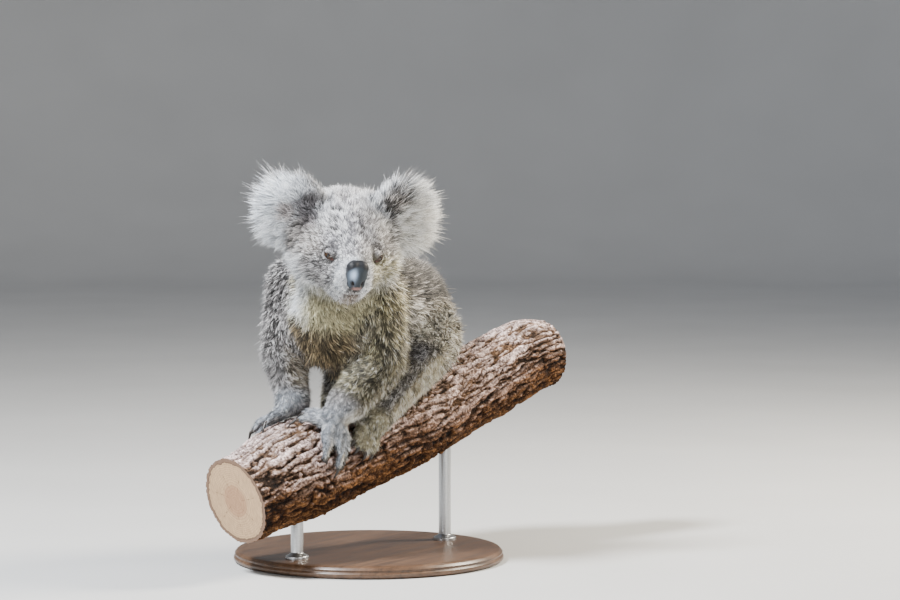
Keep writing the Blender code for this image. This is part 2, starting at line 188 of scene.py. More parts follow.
def place(name, mesh, material, slot, covers=()):
    """An object for the mesh, riding on the body and standing for the CAD nodes that it covers."""
    piece = bpy.data.objects.new(name, mesh)
    bpy.context.scene.collection.objects.link(piece)
    mesh.materials.append(material)
    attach(piece, "root")
    if covers:
        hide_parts(*covers)
    print(f"{name}: {len(mesh.polygons)} faces")
    return piece


def tint(mesh, colours, name="coat"):
    """Stores a colour for each point."""
    layer = mesh.color_attributes.new(name, "FLOAT_COLOR", "POINT")
    opaque = np.column_stack([colours, np.ones(len(colours))]).astype(np.float32)
    layer.data.foreach_set("color", opaque.ravel())


def lay_out(mesh, places, name="OFBake"):
    """Stores a UV place for each point, read by every face corner there."""
    corner = np.empty(len(mesh.loops), np.int32)
    mesh.loops.foreach_get("vertex_index", corner)
    layer = mesh.uv_layers.new(name=name)
    layer.uv.foreach_set("vector", np.asarray(places, np.float32)[corner].ravel())


# %% [markdown]
# ## Mixing finishes
# A material is a small network of nodes. Written out one node at a time it is hard to read, so a
# `Wire` wraps a socket and turns `a * b + 1` into Math nodes, and `Finish.node` adds anything else.


# %% Shader expressions
class Wire:
    """A socket that can stand in an expression."""

    def __init__(self, finish, socket):
        self.finish, self.socket = finish, socket

    def maths(self, operation, *others, swap=False):
        """A Math node on this socket and the others, which stand first if swapped."""
        values = (*others, self) if swap else (self, *others)
        return self.finish.node("ShaderNodeMath", {"operation": operation}, dict(enumerate(values)))

    def __add__(self, other):
        return self.maths("ADD", other)

    def __sub__(self, other):
        return self.maths("SUBTRACT", other)

    def __rsub__(self, other):
        return self.maths("SUBTRACT", other, swap=True)

    def __mul__(self, other):
        return self.maths("MULTIPLY", other)

    __radd__, __rmul__ = __add__, __mul__


class Finish:
    """A material with one shader; node() adds a node and hands back one of its sockets."""

    def __init__(self, name, roughness=0.5, **fixed):
        self.material = bpy.data.materials.new(name)
        self.material.use_nodes = True
        self.tree = self.material.node_tree
        self.shader = self.tree.nodes["Principled BSDF"]
        self.shader.inputs["Roughness"].default_value = roughness
        for socket, value in fixed.items():
            self.shader.inputs[socket.replace("_", " ")].default_value = value

    def node(self, kind, settings=None, inputs=None, out=0):
        """Adds a node, makes its settings, then sets or links its sockets."""
        made = self.tree.nodes.new(kind)
        for name, value in (settings or {}).items():
            if name == "stops":
                self.set_stops(made.color_ramp, value)
            else:
                setattr(made, name, value)
        for name, value in (inputs or {}).items():
            if isinstance(value, Wire):
                self.tree.links.new(value.socket, made.inputs[name])
            else:
                made.inputs[name].default_value = value
        return Wire(self, made.outputs[out])

    def set_stops(self, ramp, stops):
        """A ramp's places and colours; a plain number is a grey."""
        while len(ramp.elements) < len(stops):
            ramp.elements.new(1)
        for element, (position, colour) in zip(ramp.elements, stops):
            element.position = position
            element.color = (*np.broadcast_to(colour, 3).tolist(), 1)

    def feed(self, **wires):
        """Links wires to the shader's sockets and hands back the material."""
        for socket, wire in wires.items():
            self.tree.links.new(wire.socket, self.shader.inputs[socket.replace("_", " ")])
        return self.material

    def place(self):
        """The place on the piece, in metres."""
        return self.node("ShaderNodeTexCoord", out="Object")

    def stretched(self, where, scale):
        """Places scaled along each axis; a pattern on them is drawn out where the scale is small."""
        return self.node("ShaderNodeMapping", None, {"Vector": where, "Scale": scale})

    def grain(self, scale, detail=3, where=None, **more):
        """Noise with so many waves to the metre."""
        values = {"Vector": where or self.place(), "Scale": scale, "Detail": detail, **more}
        return self.node("ShaderNodeTexNoise", None, values)

    def ramp(self, value, *stops):
        return self.node("ShaderNodeValToRGB", {"stops": stops}, {0: value})

    def blend(self, share, first, second, how="MIX"):
        values = {0: share, 6: first, 7: second}
        return self.node("ShaderNodeMix", {"data_type": "RGBA", "blend_type": how}, values, out=2)

    def stored(self):
        """The colour kept at the points."""
        return self.node("ShaderNodeAttribute", {"attribute_name": "coat"}, out="Color")

    def shaded(self, shade):
        """The stored colour, multiplied by a shade that is 1 where nothing changes."""
        return self.blend(1.0, self.stored(), shade, "MULTIPLY")

    def bump(self, height, depth, strength=1.0):
        values = {"Height": height, "Distance": depth, "Strength": strength}
        return self.node("ShaderNodeBump", None, values)


# %% [markdown]
# ## The camera
# A long lens, a little above the animal and 33 degrees round to its left side, so that the head,
# which is turned to that side, looks just past the lens. The aim is set from the head's own middle.

# %% Camera
VIEW_TURN, VIEW_RISE = math.radians(33), math.radians(4)
LENS, SENSOR, DISTANCE = 135, 36, 4.22
AIM_RIGHT, AIM_NEAR, AIM_DOWN = 0.134, 0.006, 0.0685


def add_camera():
    """Turned and raised from the front, and aimed beside and below the head's middle."""
    right = Vector((math.cos(VIEW_TURN), math.sin(VIEW_TURN), 0))
    level = math.cos(VIEW_RISE)
    back = Vector((math.sin(VIEW_TURN) * level, -math.cos(VIEW_TURN) * level, math.sin(VIEW_RISE)))
    near = Vector((math.sin(VIEW_TURN), -math.cos(VIEW_TURN), 0))
    aim = Vector(middle("head")) + AIM_RIGHT * right + AIM_NEAR * near - Vector((0, 0, AIM_DOWN))
    data = bpy.data.cameras.new("camera")
    data.lens, data.sensor_width, data.clip_start = LENS, SENSOR, 0.1
    camera = bpy.data.objects.new("camera", data)
    turned_to = Matrix((right, back.cross(right), back)).transposed().to_4x4()
    camera.matrix_world = Matrix.Translation(aim + DISTANCE * back) @ turned_to
    bpy.context.scene.collection.objects.link(camera)
    bpy.context.scene.camera = camera
    return right, back


VIEW_RIGHT, VIEW_BACK = add_camera()
print("camera at", [round(value, 3) for value in bpy.context.scene.camera.location])

# %% [markdown]
# ## One skin
# The solids stop at the tips of the coat and meet with thin gaps. Grown by a hair's breadth they
# overlap, and a voxel remesh then makes one closed surface of them, which is relaxed until the
# facets are gone. Each point also learns which part of the animal it belongs to, softly at the
# borders, because the coat's depth, length, lie and colour all change from part to part.

# %% Join the flesh
PARTS = ("head", "ear", "neck", "trunk", "upper_arm", "forearm", "hand", "thigh", "shank", "foot")
PAIRED = {part for part in PARTS if part not in ("head", "neck", "trunk")}
GROW, VOXEL = 0.0006, 0.0026


def nodes_of(part):
    """A part's nodes: one, or a left and a right."""
    return [f"{part}_{side}" for side in SIDES] if part in PAIRED else [part]


def remeshed(name, points, faces, voxel):
    """The closed surface of small even quads that a voxel remesh makes of one or more shells."""
    helper = bpy.data.objects.new(name, add_mesh(name, points, faces))
    bpy.context.scene.collection.objects.link(helper)
    remesh = helper.modifiers.new("even quads", "REMESH")
    remesh.mode, remesh.voxel_size = "VOXEL", voxel
    made = helper.evaluated_get(bpy.context.evaluated_depsgraph_get()).to_mesh()
    points, quads = np.empty(len(made.vertices) * 3), np.empty(len(made.polygons) * 4, int)
    made.vertices.foreach_get("co", points)
    made.polygons.foreach_get("vertices", quads)
    bpy.data.objects.remove(helper)
    return points.reshape(-1, 3), quads.reshape(-1, 4)


def join_flesh():
    """All flesh solids grown a little and remeshed into one closed surface of quads."""
    points, faces, first = [], [], 0
    for part in PARTS:
        for node in nodes_of(part):
            own, own_faces = merged(node)
            points.append(own + GROW * normals_of(own, own_faces))
            faces.append(own_faces + first)
            first += len(own)
    return remeshed("flesh", np.concatenate(points), np.concatenate(faces), VOXEL)


def refine(points, quads, near, reach, cuts=2):
    """Faces within reach of one of the places are cut finer, and then all faces become triangles."""
    centres = points[quads].mean(1)
    close = np.any([np.linalg.norm(centres - place, axis=1) < reach for place in near], axis=0)
    work = bmesh.new()
    work.from_mesh(add_mesh("work", points, quads))
    work.faces.ensure_lookup_table()
    edges = list({edge for k in np.flatnonzero(close) for edge in work.faces[k].edges})
    bmesh.ops.subdivide_edges(work, edges=edges, cuts=cuts, use_grid_fill=True)
    bmesh.ops.triangulate(work, faces=work.faces[:])
    mesh = bpy.data.meshes.new("work")
    work.to_mesh(mesh)
    points, faces = np.empty(len(mesh.vertices) * 3), np.empty(len(mesh.polygons) * 3, int)
    mesh.vertices.foreach_get("co", points)
    mesh.polygons.foreach_get("vertices", faces)
    return points.reshape(-1, 3), faces.reshape(-1, 3)


eyes = np.array([middle(f"eye_{side}") for side in SIDES])
skin, skin_faces = refine(*join_flesh(), [*eyes, middle("nose")], 0.020)
skin_edges = edges_of(skin_faces)
print("skin:", len(skin), "points,", len(skin_faces), "triangles")


# %% Which part each point belongs to
def nearest_part(points, labels_of):
    """The label of the closest CAD corner, found block by block."""
    corners, labels = zip(*((merged(node)[0], label) for label, nodes in labels_of for node in nodes))
    owner = np.concatenate([np.full(len(own), label) for own, label in zip(corners, labels)])
    corners = np.concatenate(corners).astype(np.float32)
    square = (corners**2).sum(1)
    found = [
        owner[(square - 2 * block.astype(np.float32) @ corners.T).argmin(1)]
        for block in np.array_split(points, max(len(points) // 3000, 1))
    ]
    return np.concatenate(found)


def soft_parts(points, edges, rounds=22):
    """A share of each part at every point, which adds up to one and blends across the borders."""
    label = nearest_part(points, [(k, nodes_of(part)) for k, part in enumerate(PARTS)])
    return spread(np.eye(len(PARTS))[label], edges, rounds)


shares = soft_parts(skin, skin_edges)


def by_part(**values):
    """One value at each point of the skin, blended from a value for each part; one left out is 0."""
    return shares @ np.array([values.get(part, 0) for part in PARTS])


# %% [markdown]
# ## Down to the hide
# The hide lies inside the solids by the depth of the coat: a centimetre on the trunk, a few
# millimetres on the face, hardly anything on the fingers. It is moved in by small steps, with the
# normals worked out again after each, so that nothing folds over.

# %% Sink the skin by the coat's depth
MM = 0.001
COAT_DEPTH = MM * by_part(
    head=3.4, ear=1.0, neck=8.0, trunk=9.0, upper_arm=7.0,
    forearm=4.6, hand=1.3, thigh=8.0, shank=5.0, foot=1.3,
)
nose_tip = middle("nose")
COAT_DEPTH *= 0.12 + 0.88 * step(np.linalg.norm(skin - nose_tip, axis=1), 0.018, 0.055)
for eye in eyes:
    COAT_DEPTH *= 0.40 + 0.60 * step(np.linalg.norm(skin - eye, axis=1), 0.011, 0.028)


def sink(points, faces, edges, depth, steps=5):
    """Moves the points in along their normals in steps, after easing out what the facets left."""
    points = spread(points, edges, 3)
    smooth = spread(points, edges, 22)
    fine = by_part(head=0.15, forearm=0.3, hand=1, shank=0.3, foot=1)
    points = smooth + (points - smooth) * np.clip(fine, 0, 1)[:, None]
    for _ in range(steps):
        points = points - normals_of(points, faces) * (depth / steps)[:, None]
        points = spread(points, edges, 1, 0.3)
    return points


def thin_ears(points):
    """Draws each ear's points towards its middle: less across the ear than through its thickness."""
    share = shares[:, PARTS.index("ear")]
    for side in SIDES:
        own, _ = merged(f"ear_{side}")
        centre = 0.86 * middle(f"ear_{side}") + 0.14 * middle("head")
        axes = np.linalg.svd(own - own.mean(0), full_matrices=False)[2]
        local = (points - centre) @ axes.T
        near = share * (np.linalg.norm(local, axis=1) < 0.085)
        drawn = centre + (local * (0.80, 0.80, 0.55)) @ axes
        points = points + step(near, 0.2, 0.95)[:, None] * (drawn - points)
    return points


skin = thin_ears(sink(skin, skin_faces, skin_edges, COAT_DEPTH))
skin_normals = normals_of(skin, skin_faces)
print("coat depth, mm:", (COAT_DEPTH.min() / MM).round(1), "to", (COAT_DEPTH.max() / MM).round(1))

# %% [markdown]
# ## The lie of the coat
# Hair starts at the nose and runs back over the head, from the neck towards the rump, down the
# flanks and chest, down each limb and out along each digit. On the ears it fans out from the root.
# One direction for each part, mixed by the part shares and laid flat on the skin, gives the field.

# %% Directions of the fur


def long_axis(node, towards):
    """The direction in which a node is longest, pointing towards a place."""
    points, _ = merged(node)
    spread_of = points - points.mean(0)
    axis = np.linalg.svd(spread_of, full_matrices=False)[2][0]
    return axis if axis @ (np.asarray(towards) - points.mean(0)) > 0 else -axis


def along_digits(points, node, kind, side):
    """The direction from the palm to the nearest claw, shared between claws by closeness."""
    heel = middle(node)
    total = np.zeros_like(points)
    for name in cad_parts:
        if name.startswith(f"claw_{kind}_{side}"):
            claw = middle(name)
            reach = claw - heel
            share = np.clip((points - heel) @ reach / (reach @ reach), 0, 1)
            gap = np.linalg.norm(points - heel - share[:, None] * reach, axis=1)
            total += unit(reach) / (gap[:, None] ** 4 + 1e-10)
    return unit(total)


NEXT = {"upper_arm": "forearm", "forearm": "hand", "thigh": "shank", "shank": "foot"}


def side_of(points, part):
    """0 where the left one of a pair is nearer, else 1."""
    gaps = [np.linalg.norm(points - middle(node), axis=1) for node in nodes_of(part)]
    return (gaps[1] < gaps[0]).astype(int)


def lie_of_coat(points, normals):
    """The mixed direction at each point, with its part along the normal taken off."""
    total = np.zeros_like(points)
    for k, part in enumerate(PARTS):
        share = shares[:, k : k + 1]
        if part in NEXT:
            ways = np.array([long_axis(f"{part}_{s}", middle(f"{NEXT[part]}_{s}")) for s in SIDES])
            way = ways[side_of(points, part)]
        elif part in ("hand", "foot"):
            ways = [along_digits(points, f"{part}_{s}", part, s) for s in SIDES]
            way = np.where(side_of(points, part)[:, None] == 0, *ways)
        elif part == "ear":
            roots = np.array([middle(f"ear_{s}") * 0.42 + middle("head") * 0.58 for s in SIDES])
            way = unit(points - roots[side_of(points, part)])
        elif part == "head":
            way = unit(points - nose_tip)
        else:
            way = np.array([0, 0.86, -0.5])
        total += share * way
    above = (total * normals).sum(1, keepdims=True)
    ear = shares[:, PARTS.index("ear")][:, None]
    flat = total - np.where(above > 0, 1 - 0.9 * ear, 1) * above * normals
    return unit(spread(flat, skin_edges, 3))


skin_lie = lie_of_coat(skin, skin_normals)
print("lie of the coat worked out")

# %% [markdown]
# ## The face
# The face is worked out in the head's own directions: to its left, backwards and up. Each eye gets
# lids: skin inside an almond round the gaze is tucked behind the ball, skin at its rim lies on the
# ball, and a shallow fold runs round it. The skin also sinks round the nose and along the mouth.

# %% The head's own directions
GAZE_FALL = math.radians(28)


def head_frame():
    """Columns are the head's left, back and up, from the line of the eyes and the nose's middle."""
    left = unit(eyes[0] - eyes[1])
    nose = middle("nose") - eyes.mean(0)
    nose = unit(nose - (nose @ left) * left)
    down = np.cross(left, nose)
    level, drop = math.cos(GAZE_FALL) * nose, math.sin(GAZE_FALL) * down
    ahead = level + drop
    if abs(ahead[2]) >= abs((level - drop)[2]):
        ahead = 2 * level - ahead
    return np.stack([left, -ahead, np.cross(left, -ahead)], 1)


HEAD_FRAME = head_frame()
FACE = eyes.mean(0)


def in_head(points):
    """Places measured from between the eyes, in the head's own directions."""
    return (points - FACE) @ HEAD_FRAME


print("head turned to", HEAD_FRAME.T.round(2).tolist())
print("nose in head, mm:", (in_head(middle("nose")) / MM).round(1))

# %% A finer copy of a solid


def fine_copy(node, voxel, rounds, grow_by=0.0):
    """A node's own form remeshed to small even quads and eased, so that no facet shows."""
    points, faces = merged(node)
    points, quads = remeshed("fine", points + grow_by * normals_of(points, faces), faces, voxel)
    return spread(points, edges_of(quads), rounds), quads


nose_points, nose_quads = fine_copy("nose", 0.00065, 26, 0.0004)
nose_normals = normals_of(nose_points, nose_quads)


def off_the_nose(points):
    """How far each place near the nose lies outside the nose's surface, and that surface's normal there."""
    away, outwards = np.full(len(points), 1.0), np.zeros_like(points)
    close = np.where(np.linalg.norm(points - nose_points.mean(0), axis=1) < 0.035)[0]
    for part in np.array_split(close, 40):
        gaps = np.linalg.norm(points[part][:, None] - nose_points[None, ::3], axis=2)
        first = np.argmin(gaps, axis=1) * 3
        outwards[part] = nose_normals[first]
        away[part] = ((points[part] - nose_points[first]) * nose_normals[first]).sum(1)
    return away, outwards


# %% Lids, nose edge and mouth
EYE_RADIUS = (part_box("eye_left")[1][2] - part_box("eye_left")[0][2]) / 2
OPEN_WIDE, OPEN_HIGH = 6.0 * MM, 2.5 * MM
LID, LID_RIM = 0.9 * MM, 0.25 * MM
NOSE_SINK = 1.6 * MM


def gaze(side):
    """The way an eye looks: ahead, well out to its own side and a little up."""
    out = 1 if side == 0 else -1
    return unit(HEAD_FRAME @ np.array([0.62 * out, -0.76, 0.10]))


def eye_frame(side):
    """Columns are the almond's long way, its short way and the gaze; the almond tips down to the nose."""
    look = gaze(side)
    tilt = -0.50 if side == 0 else 0.50
    across = HEAD_FRAME @ np.array([math.cos(tilt), 0, -math.sin(tilt)])
    across = unit(across - (across @ look) * look)
    return np.stack([across, np.cross(look, across), look], 1)


def almond(points, side):
    """How far out a place is from the gaze, where 1 is the edge of the open lids."""
    local = (points - eyes[side]) @ eye_frame(side)
    high = OPEN_HIGH * (1 - 0.25 * np.clip(np.abs(local[:, 0]) / OPEN_WIDE, 0, 1))
    out = np.hypot(local[:, 0] / OPEN_WIDE, local[:, 1] / high)
    return np.where(local[:, 2] > -EYE_RADIUS, out, 9.0), local


def make_lids(points):
    """Skin within the almond goes behind the ball, its rim lies on the ball, and beyond it blends away."""
    for side in (0, 1):
        frame_of = eye_frame(side)
        out, local = almond(points, side)
        flat = np.maximum(np.linalg.norm(local[:, :2], axis=1), 1e-6)
        radius = EYE_RADIUS + LID * (1 - 0.3 * bell(out, 1.55, 0.22)) + LID_RIM * bell(out, 1.16, 0.14)
        height = np.sqrt(np.maximum(radius**2 - np.minimum(flat, radius * 0.95) ** 2, 0))
        over = local.copy()
        over[:, 2] = height
        hidden = local.copy()
        hidden[:, :2] *= 0.86
        hidden[:, 2] = EYE_RADIUS * 0.25
        away = step(flat / EYE_RADIUS, 0.95, 1.5)[:, None]
        local = np.where((out < 1)[:, None], hidden, over + (local - over) * away)
        close = (flat < 1.5 * EYE_RADIUS) & (out < 9)
        points = np.where(close[:, None], eyes[side] + local @ frame_of.T, points)
    return points


def mouth_line(points):
    """Signed height over the mouth's line, which runs back and up on either side of the chin."""
    local = in_head(points)
    side = np.abs(local[:, 0]) / MM
    line = -43.5 * MM + MM * (0.9 * bell(side, 0, 3.0) - 0.0085 * side**2 + 0.00045 * side**3)
    reach = step(side, 25.0, 19.0) * step(local[:, 1], 22 * MM, 6 * MM)
    return local[:, 2] - line, reach


def shape_face(points):
    """Presses in the mouth's line, lifts the lip above it, and lays the skin under the nose's edge."""
    height, reach = mouth_line(points)
    lip = bell(height, 0, 1.1 * MM) * reach
    puff = bell(height, 5.5 * MM, 4.5 * MM) * reach
    points = points - normals_of(points, skin_faces) * (2.2 * MM * lip - 1.2 * MM * puff)[:, None]
    away, outwards = off_the_nose(points)
    sunk = step(away / MM, 1.8, 0.5) * np.clip(away + NOSE_SINK, 0, None)
    return points - sunk[:, None] * outwards


skin = shape_face(skin)
skin = spread(skin, skin_edges, 1)
skin = make_lids(skin)

# %% [markdown]
# Hands and feet get the hollows between their digits. A line runs from the wrist to each claw, and
# where a place is as near to one line as to the next, the skin is drawn in.

# %% Hollows between the digits


def between_digits(points):
    """1 midway between two neighbouring lines from wrist to claw and 0 on a line, past the palm only."""
    hollow = np.zeros(len(points))
    for kind, above in (("hand", "forearm"), ("foot", "shank")):
        for side in SIDES:
            corners, _ = merged(f"{kind}_{side}")
            order = np.argsort(np.linalg.norm(corners - middle(f"{above}_{side}"), axis=1))
            wrist = corners[order[: len(order) // 6]].mean(0)
            gaps, along = [], []
            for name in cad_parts:
                if name.startswith(f"claw_{kind}_{side}"):
                    reach = middle(name) - wrist
                    t = np.clip((points - wrist) @ reach / (reach @ reach), 0, 1)
                    gaps.append(np.linalg.norm(points - wrist - t[:, None] * reach, axis=1))
                    along.append(t)
            gaps, along = np.array(gaps), np.array(along)
            first = np.argmin(gaps, axis=0)
            near = np.sort(gaps, axis=0)
            t = along[first, np.arange(len(points))]
            own = bell(near[1] - near[0], 0, 2.4 * MM) * step(t, 0.38, 0.58) * (near[0] < 0.022)
            hollow = np.maximum(hollow, own)
    return hollow * np.clip(shares[:, PARTS.index("hand")] + shares[:, PARTS.index("foot")], 0, 1)


hollow = spread(between_digits(skin)[:, None], skin_edges, 1)[:, 0]
skin = skin - normals_of(skin, skin_faces) * (3.0 * MM * hollow)[:, None]
print("points in the hollows:", int((hollow > 0.5).sum()))

# %% The skin's normals
skin_normals = normals_of(skin, skin_faces)
almonds = [almond(skin, side)[0] for side in (0, 1)]
print("open eyes:", [int((out < 1).sum()) for out in almonds], "points tucked in")

# %% [markdown]
# ## Markings
# One function gives the colour of a place from where it is on the animal, so skin and coat agree:
# ash grey above with painted shade on the up-facing back, brown below that is partly painted shade,
# painted shade inside the arms, an olive left arm that is painted shade, paler flanks and thighs with
# painted light on the left, cream painted rim light on the outer sides of the legs, a khaki bib,
# white jaw and ear fringes, a dark patch at the root of each ear with painted shade below it, dark
# knees, paler hands and feet, and a speckle.

# %% The colour of a place
# The blue cast of the white fur and of the pale hands is painted cool light; the colours under it are the
# fur's own.
GREY, BROWN, PALE_GREY = (0.46, 0.435, 0.43), (0.40, 0.36, 0.31), (0.74, 0.70, 0.59)
KHAKI, WHITE = (0.70, 0.63, 0.38), (0.90, 0.95, 1.02)
FOREHEAD, CHEEK, CHIN = (0.70, 0.68, 0.73), (0.36, 0.345, 0.35), (0.58, 0.46, 0.38)
TEMPLE, EAR_FOLD = (0.36, 0.32, 0.29), (0.66, 0.54, 0.50)
BEIGE_AND_PAINTED_LIGHT, WHITE_AND_PAINTED_LIGHT, LIGHT = (1.25, 1.22, 1.13), (1.15, 1.20, 1.28), 0.94
DARK, BELLY_AND_SHADE, OLIVE_SHADE, KNEE = (0.14, 0.12, 0.13), (0.24, 0.18, 0.10), (0.34, 0.29, 0.15), (0.40, 0.385, 0.41)
CREAM_AND_RIM_LIGHT, PALE_HAND, PALE_FOOT = (1.0, 0.84, 0.56), (0.56, 0.60, 0.67), (0.62, 0.55, 0.36)


def mix(first, second, share):
    """From the first colour where the share is 0 to the second where it is 1."""
    share = np.clip(share, 0, 1)[:, None]
    return np.asarray(first) * (1 - share) + np.asarray(second) * share


def spot(local, centre, reach, rough=0.0):
    """1 in the middle of an oval patch and 0 outside it; rough shifts its edge from place to place."""
    gap = (local - np.array(centre)) / np.array(reach)
    return step(np.linalg.norm(gap, axis=1) + rough, 1.35, 0.55)


def knee_of(side):
    """The bent knee: a little out, forward and down from the highest part of the shank."""
    corners, _ = merged(f"shank_{side}")
    order = np.argsort(0.4 * corners[:, 1] - corners[:, 2])
    sign = 1 if side == "left" else -1
    return corners[order[: len(order) // 8]].mean(0) + MM * np.array([7 * sign, -11, -10])


def paint_body(colour, share, points, normals, local, blotch):
    """Dark back from painted shade on surfaces that face up, paler flanks and thighs with painted light
    on the left, brown below that is partly painted shade, khaki bib, painted shade inside the arms and
    as an olive left arm, dark knees, and cream painted rim light on the outer sides of the legs and of
    the left forearm and hand.
    """
    legs, body = share["thigh"] + share["shank"], share["trunk"] + share["neck"]
    arms = share["upper_arm"] + share["forearm"]
    colour = mix(colour, BROWN, (share["trunk"] + legs) * (0.55 + 0.5 * blotch))
    off = points[:, 0] - middle("trunk")[0]
    # paler flanks and thighs: pale fur, plus painted light on the left flank and thigh that lifts their shade
    flank = step(normals[:, 2] + 0.2 * blotch, 0.25, -0.10) * step(points[:, 1], -0.02, 0.03)
    left = step(off, 0, 0.03)
    pale_thigh = 0.30 + 0.70 * left * step(normals[:, 1], 0.70, 0.15)
    pale = share["trunk"] * flank * (0.45 + 0.45 * left) + share["thigh"] * pale_thigh
    colour = mix(colour, PALE_GREY, pale)
    colour = colour * (1 + 0.10 * share["thigh"])[:, None]
    # painted shade: body surfaces that face up are darkened by up to two thirds
    colour = colour * (1 - 0.68 * body * step(normals[:, 2], -0.05, 0.32))[:, None]
    # brown where the body faces down: the belly's own rusty colour, deepened as painted shade
    below = step(-normals[:, 1] * 0.75 - normals[:, 2] * 0.55 + 0.12 * blotch, 0.15, 0.60)
    below = below * np.maximum(step(points[:, 1], 0.0, -0.03), step(np.abs(off), 0.060, 0.040))
    colour = mix(colour, BELLY_AND_SHADE, body * below)
    colour = mix(colour, KHAKI, body * below * step(points[:, 2] + 0.006 * blotch, 0.312, 0.334))
    # painted shade: the insides of the arms, facing the body, go dark brown
    inward = -np.sign(off) * normals[:, 0] - 0.35 * normals[:, 2]
    inside = (share["upper_arm"] + 0.8 * share["forearm"]) * step(inward + 0.15 * blotch, 0.18, 0.65)
    colour = mix(colour, BELLY_AND_SHADE, inside * 0.85)
    # cream fur and painted rim light along the outer, lower sides of the legs, more on the left
    outer = np.sign(off) * normals[:, 0] * 0.55 - normals[:, 2] * 0.75 + normals[:, 1] * 0.2
    outside = (share["shank"] + 0.45 * share["thigh"]) * step(outer + 0.15 * blotch, -0.10, 0.42)
    colour = mix(colour, CREAM_AND_RIM_LIGHT, outside * (0.4 + 0.5 * left))
    # painted shade: the left arm, in the head's shade, goes olive, and the left forearm darker still
    colour = mix(colour, OLIVE_SHADE, arms * step(off, 0, 0.02) * (0.80 + 0.25 * blotch))
    colour = colour * (1 - 0.28 * share["forearm"] * step(off, 0, 0.02))[:, None]
    # painted rim light: cream on the outer side of the left forearm
    colour = mix(colour, CREAM_AND_RIM_LIGHT, share["forearm"] * step(off, 0, 0.02) * step(outer, 0.45, 0.90) * 0.4)
    for side in SIDES:
        gap = np.linalg.norm(points - knee_of(side), axis=1) / MM
        colour = mix(colour, KNEE, legs * step(gap + 3 * blotch, 17, 10) * 0.9)
    palm = share["hand"] * np.where(off > 0, step(points[:, 2], 0.225, 0.200), 1)
    cuff = share["forearm"] * step(off, 0.03, 0.01) * 0.5 * step(points[:, 2], 0.240, 0.216)
    colour = mix(colour, PALE_HAND, palm + cuff)
    # painted rim light: cream on the outer side of the left hand
    colour = mix(colour, CREAM_AND_RIM_LIGHT, share["hand"] * step(off, 0, 0.02) * step(outer, 0.35, 0.80) * 0.6)
    return mix(colour, PALE_FOOT, share["foot"])


def ruff_of(points, local, blotch):
    """The bib under the chin, from the neck down over the chest and the fronts of the shoulders."""
    ruff = step(np.linalg.norm(points - middle("head"), axis=1) / MM + 4 * blotch, 116, 98)
    ruff = ruff * step(local[:, 1] + 0.6 * local[:, 0], 62, 40)
    return ruff * step(local[:, 0] - 0.67 * (local[:, 2] + 58) + 5 * blotch, 54, 40)


def paint_head(colour, share, points, normals, local, blotch):
    """Pale forehead, darker cheeks, white round the nose and jaw on one side and khaki on the other: the
    fur's own colours, with painted light from the lamps on each side, past white beside the nose.
    """
    side_of_it, face = np.abs(local[:, 0]), share["head"] + share["neck"] * 0.6
    crown = bell(local[:, 0], 0, 24) + spot(local, (-34, -2, 14), (16, 30, 12))
    brow = share["head"] * step(local[:, 2], -8, 18) * (0.25 + 0.75 * np.minimum(crown, 1))
    colour = mix(colour, FOREHEAD, brow)
    temple = share["head"] * step(side_of_it + 6 * blotch, 28, 46) * step(local[:, 2], -12, 8)
    temple = temple * step(local[:, 1], 60, 30) * np.where(local[:, 0] < 0, 0.85, 0.45)
    colour = mix(colour, TEMPLE, temple)
    colour = mix(colour, CHEEK, share["head"] * spot(local, (-25, 0, 36), (9, 40, 11), 0.5 * blotch) * 0.6)
    way_back = side_of_it + 0.55 * local[:, 1] + 3 * blotch
    mask = step(way_back, 68, 52) * step(local[:, 2], 10, -8) * step(side_of_it, 10, 20)
    colour = mix(colour, CHEEK, share["head"] * mask * 0.8)
    back_cheek = step(way_back, 60, 74) * step(local[:, 2], 22, 0) * step(local[:, 1], 95, 70)
    over_jaw = local[:, 2] + 16 + 0.88 * np.clip(64 - side_of_it, 0, 60) + 4 * blotch
    under = step(over_jaw, 5, -6) * (local[:, 2] < 5)
    jaw = np.maximum(back_cheek, under)
    colour = mix(colour, WHITE, face * jaw * 0.95)
    # khaki on the animal's left jaw and lower cheek: cream fur, warmed as painted light of the warm lamp on
    # that side
    lower = step(local[:, 2] + 0.35 * side_of_it + 4 * blotch, 22, 4) * step(local[:, 0], 16, 28)
    khaki = np.maximum(jaw, lower)
    colour = mix(colour, KHAKI, face * khaki * step(local[:, 0], -2, 14) * step(local[:, 1], 75, 50) * 0.9)
    chin = step(side_of_it, 16, 9) * step(local[:, 2] + 3 * blotch, -42, -48) * step(local[:, 1], 45, 10)
    colour = mix(colour, CHIN, face * chin)
    # white fur beside the nose and on its bridge, on the animal's right only, pushed past white as painted
    # light
    beside = np.exp(-(((side_of_it - 17) / 6.5) ** 2) - (((local[:, 2] + 29) / 22) ** 2)) * (local[:, 1] < 30)
    above = spot(local, (-3, -22, -2), (13, 30, 8))
    bright = np.maximum(beside * step(local[:, 0], 30, 10), 0.5 * above)
    return mix(colour, WHITE_AND_PAINTED_LIGHT, share["head"] * np.clip(2.2 * bright, 0, 1))


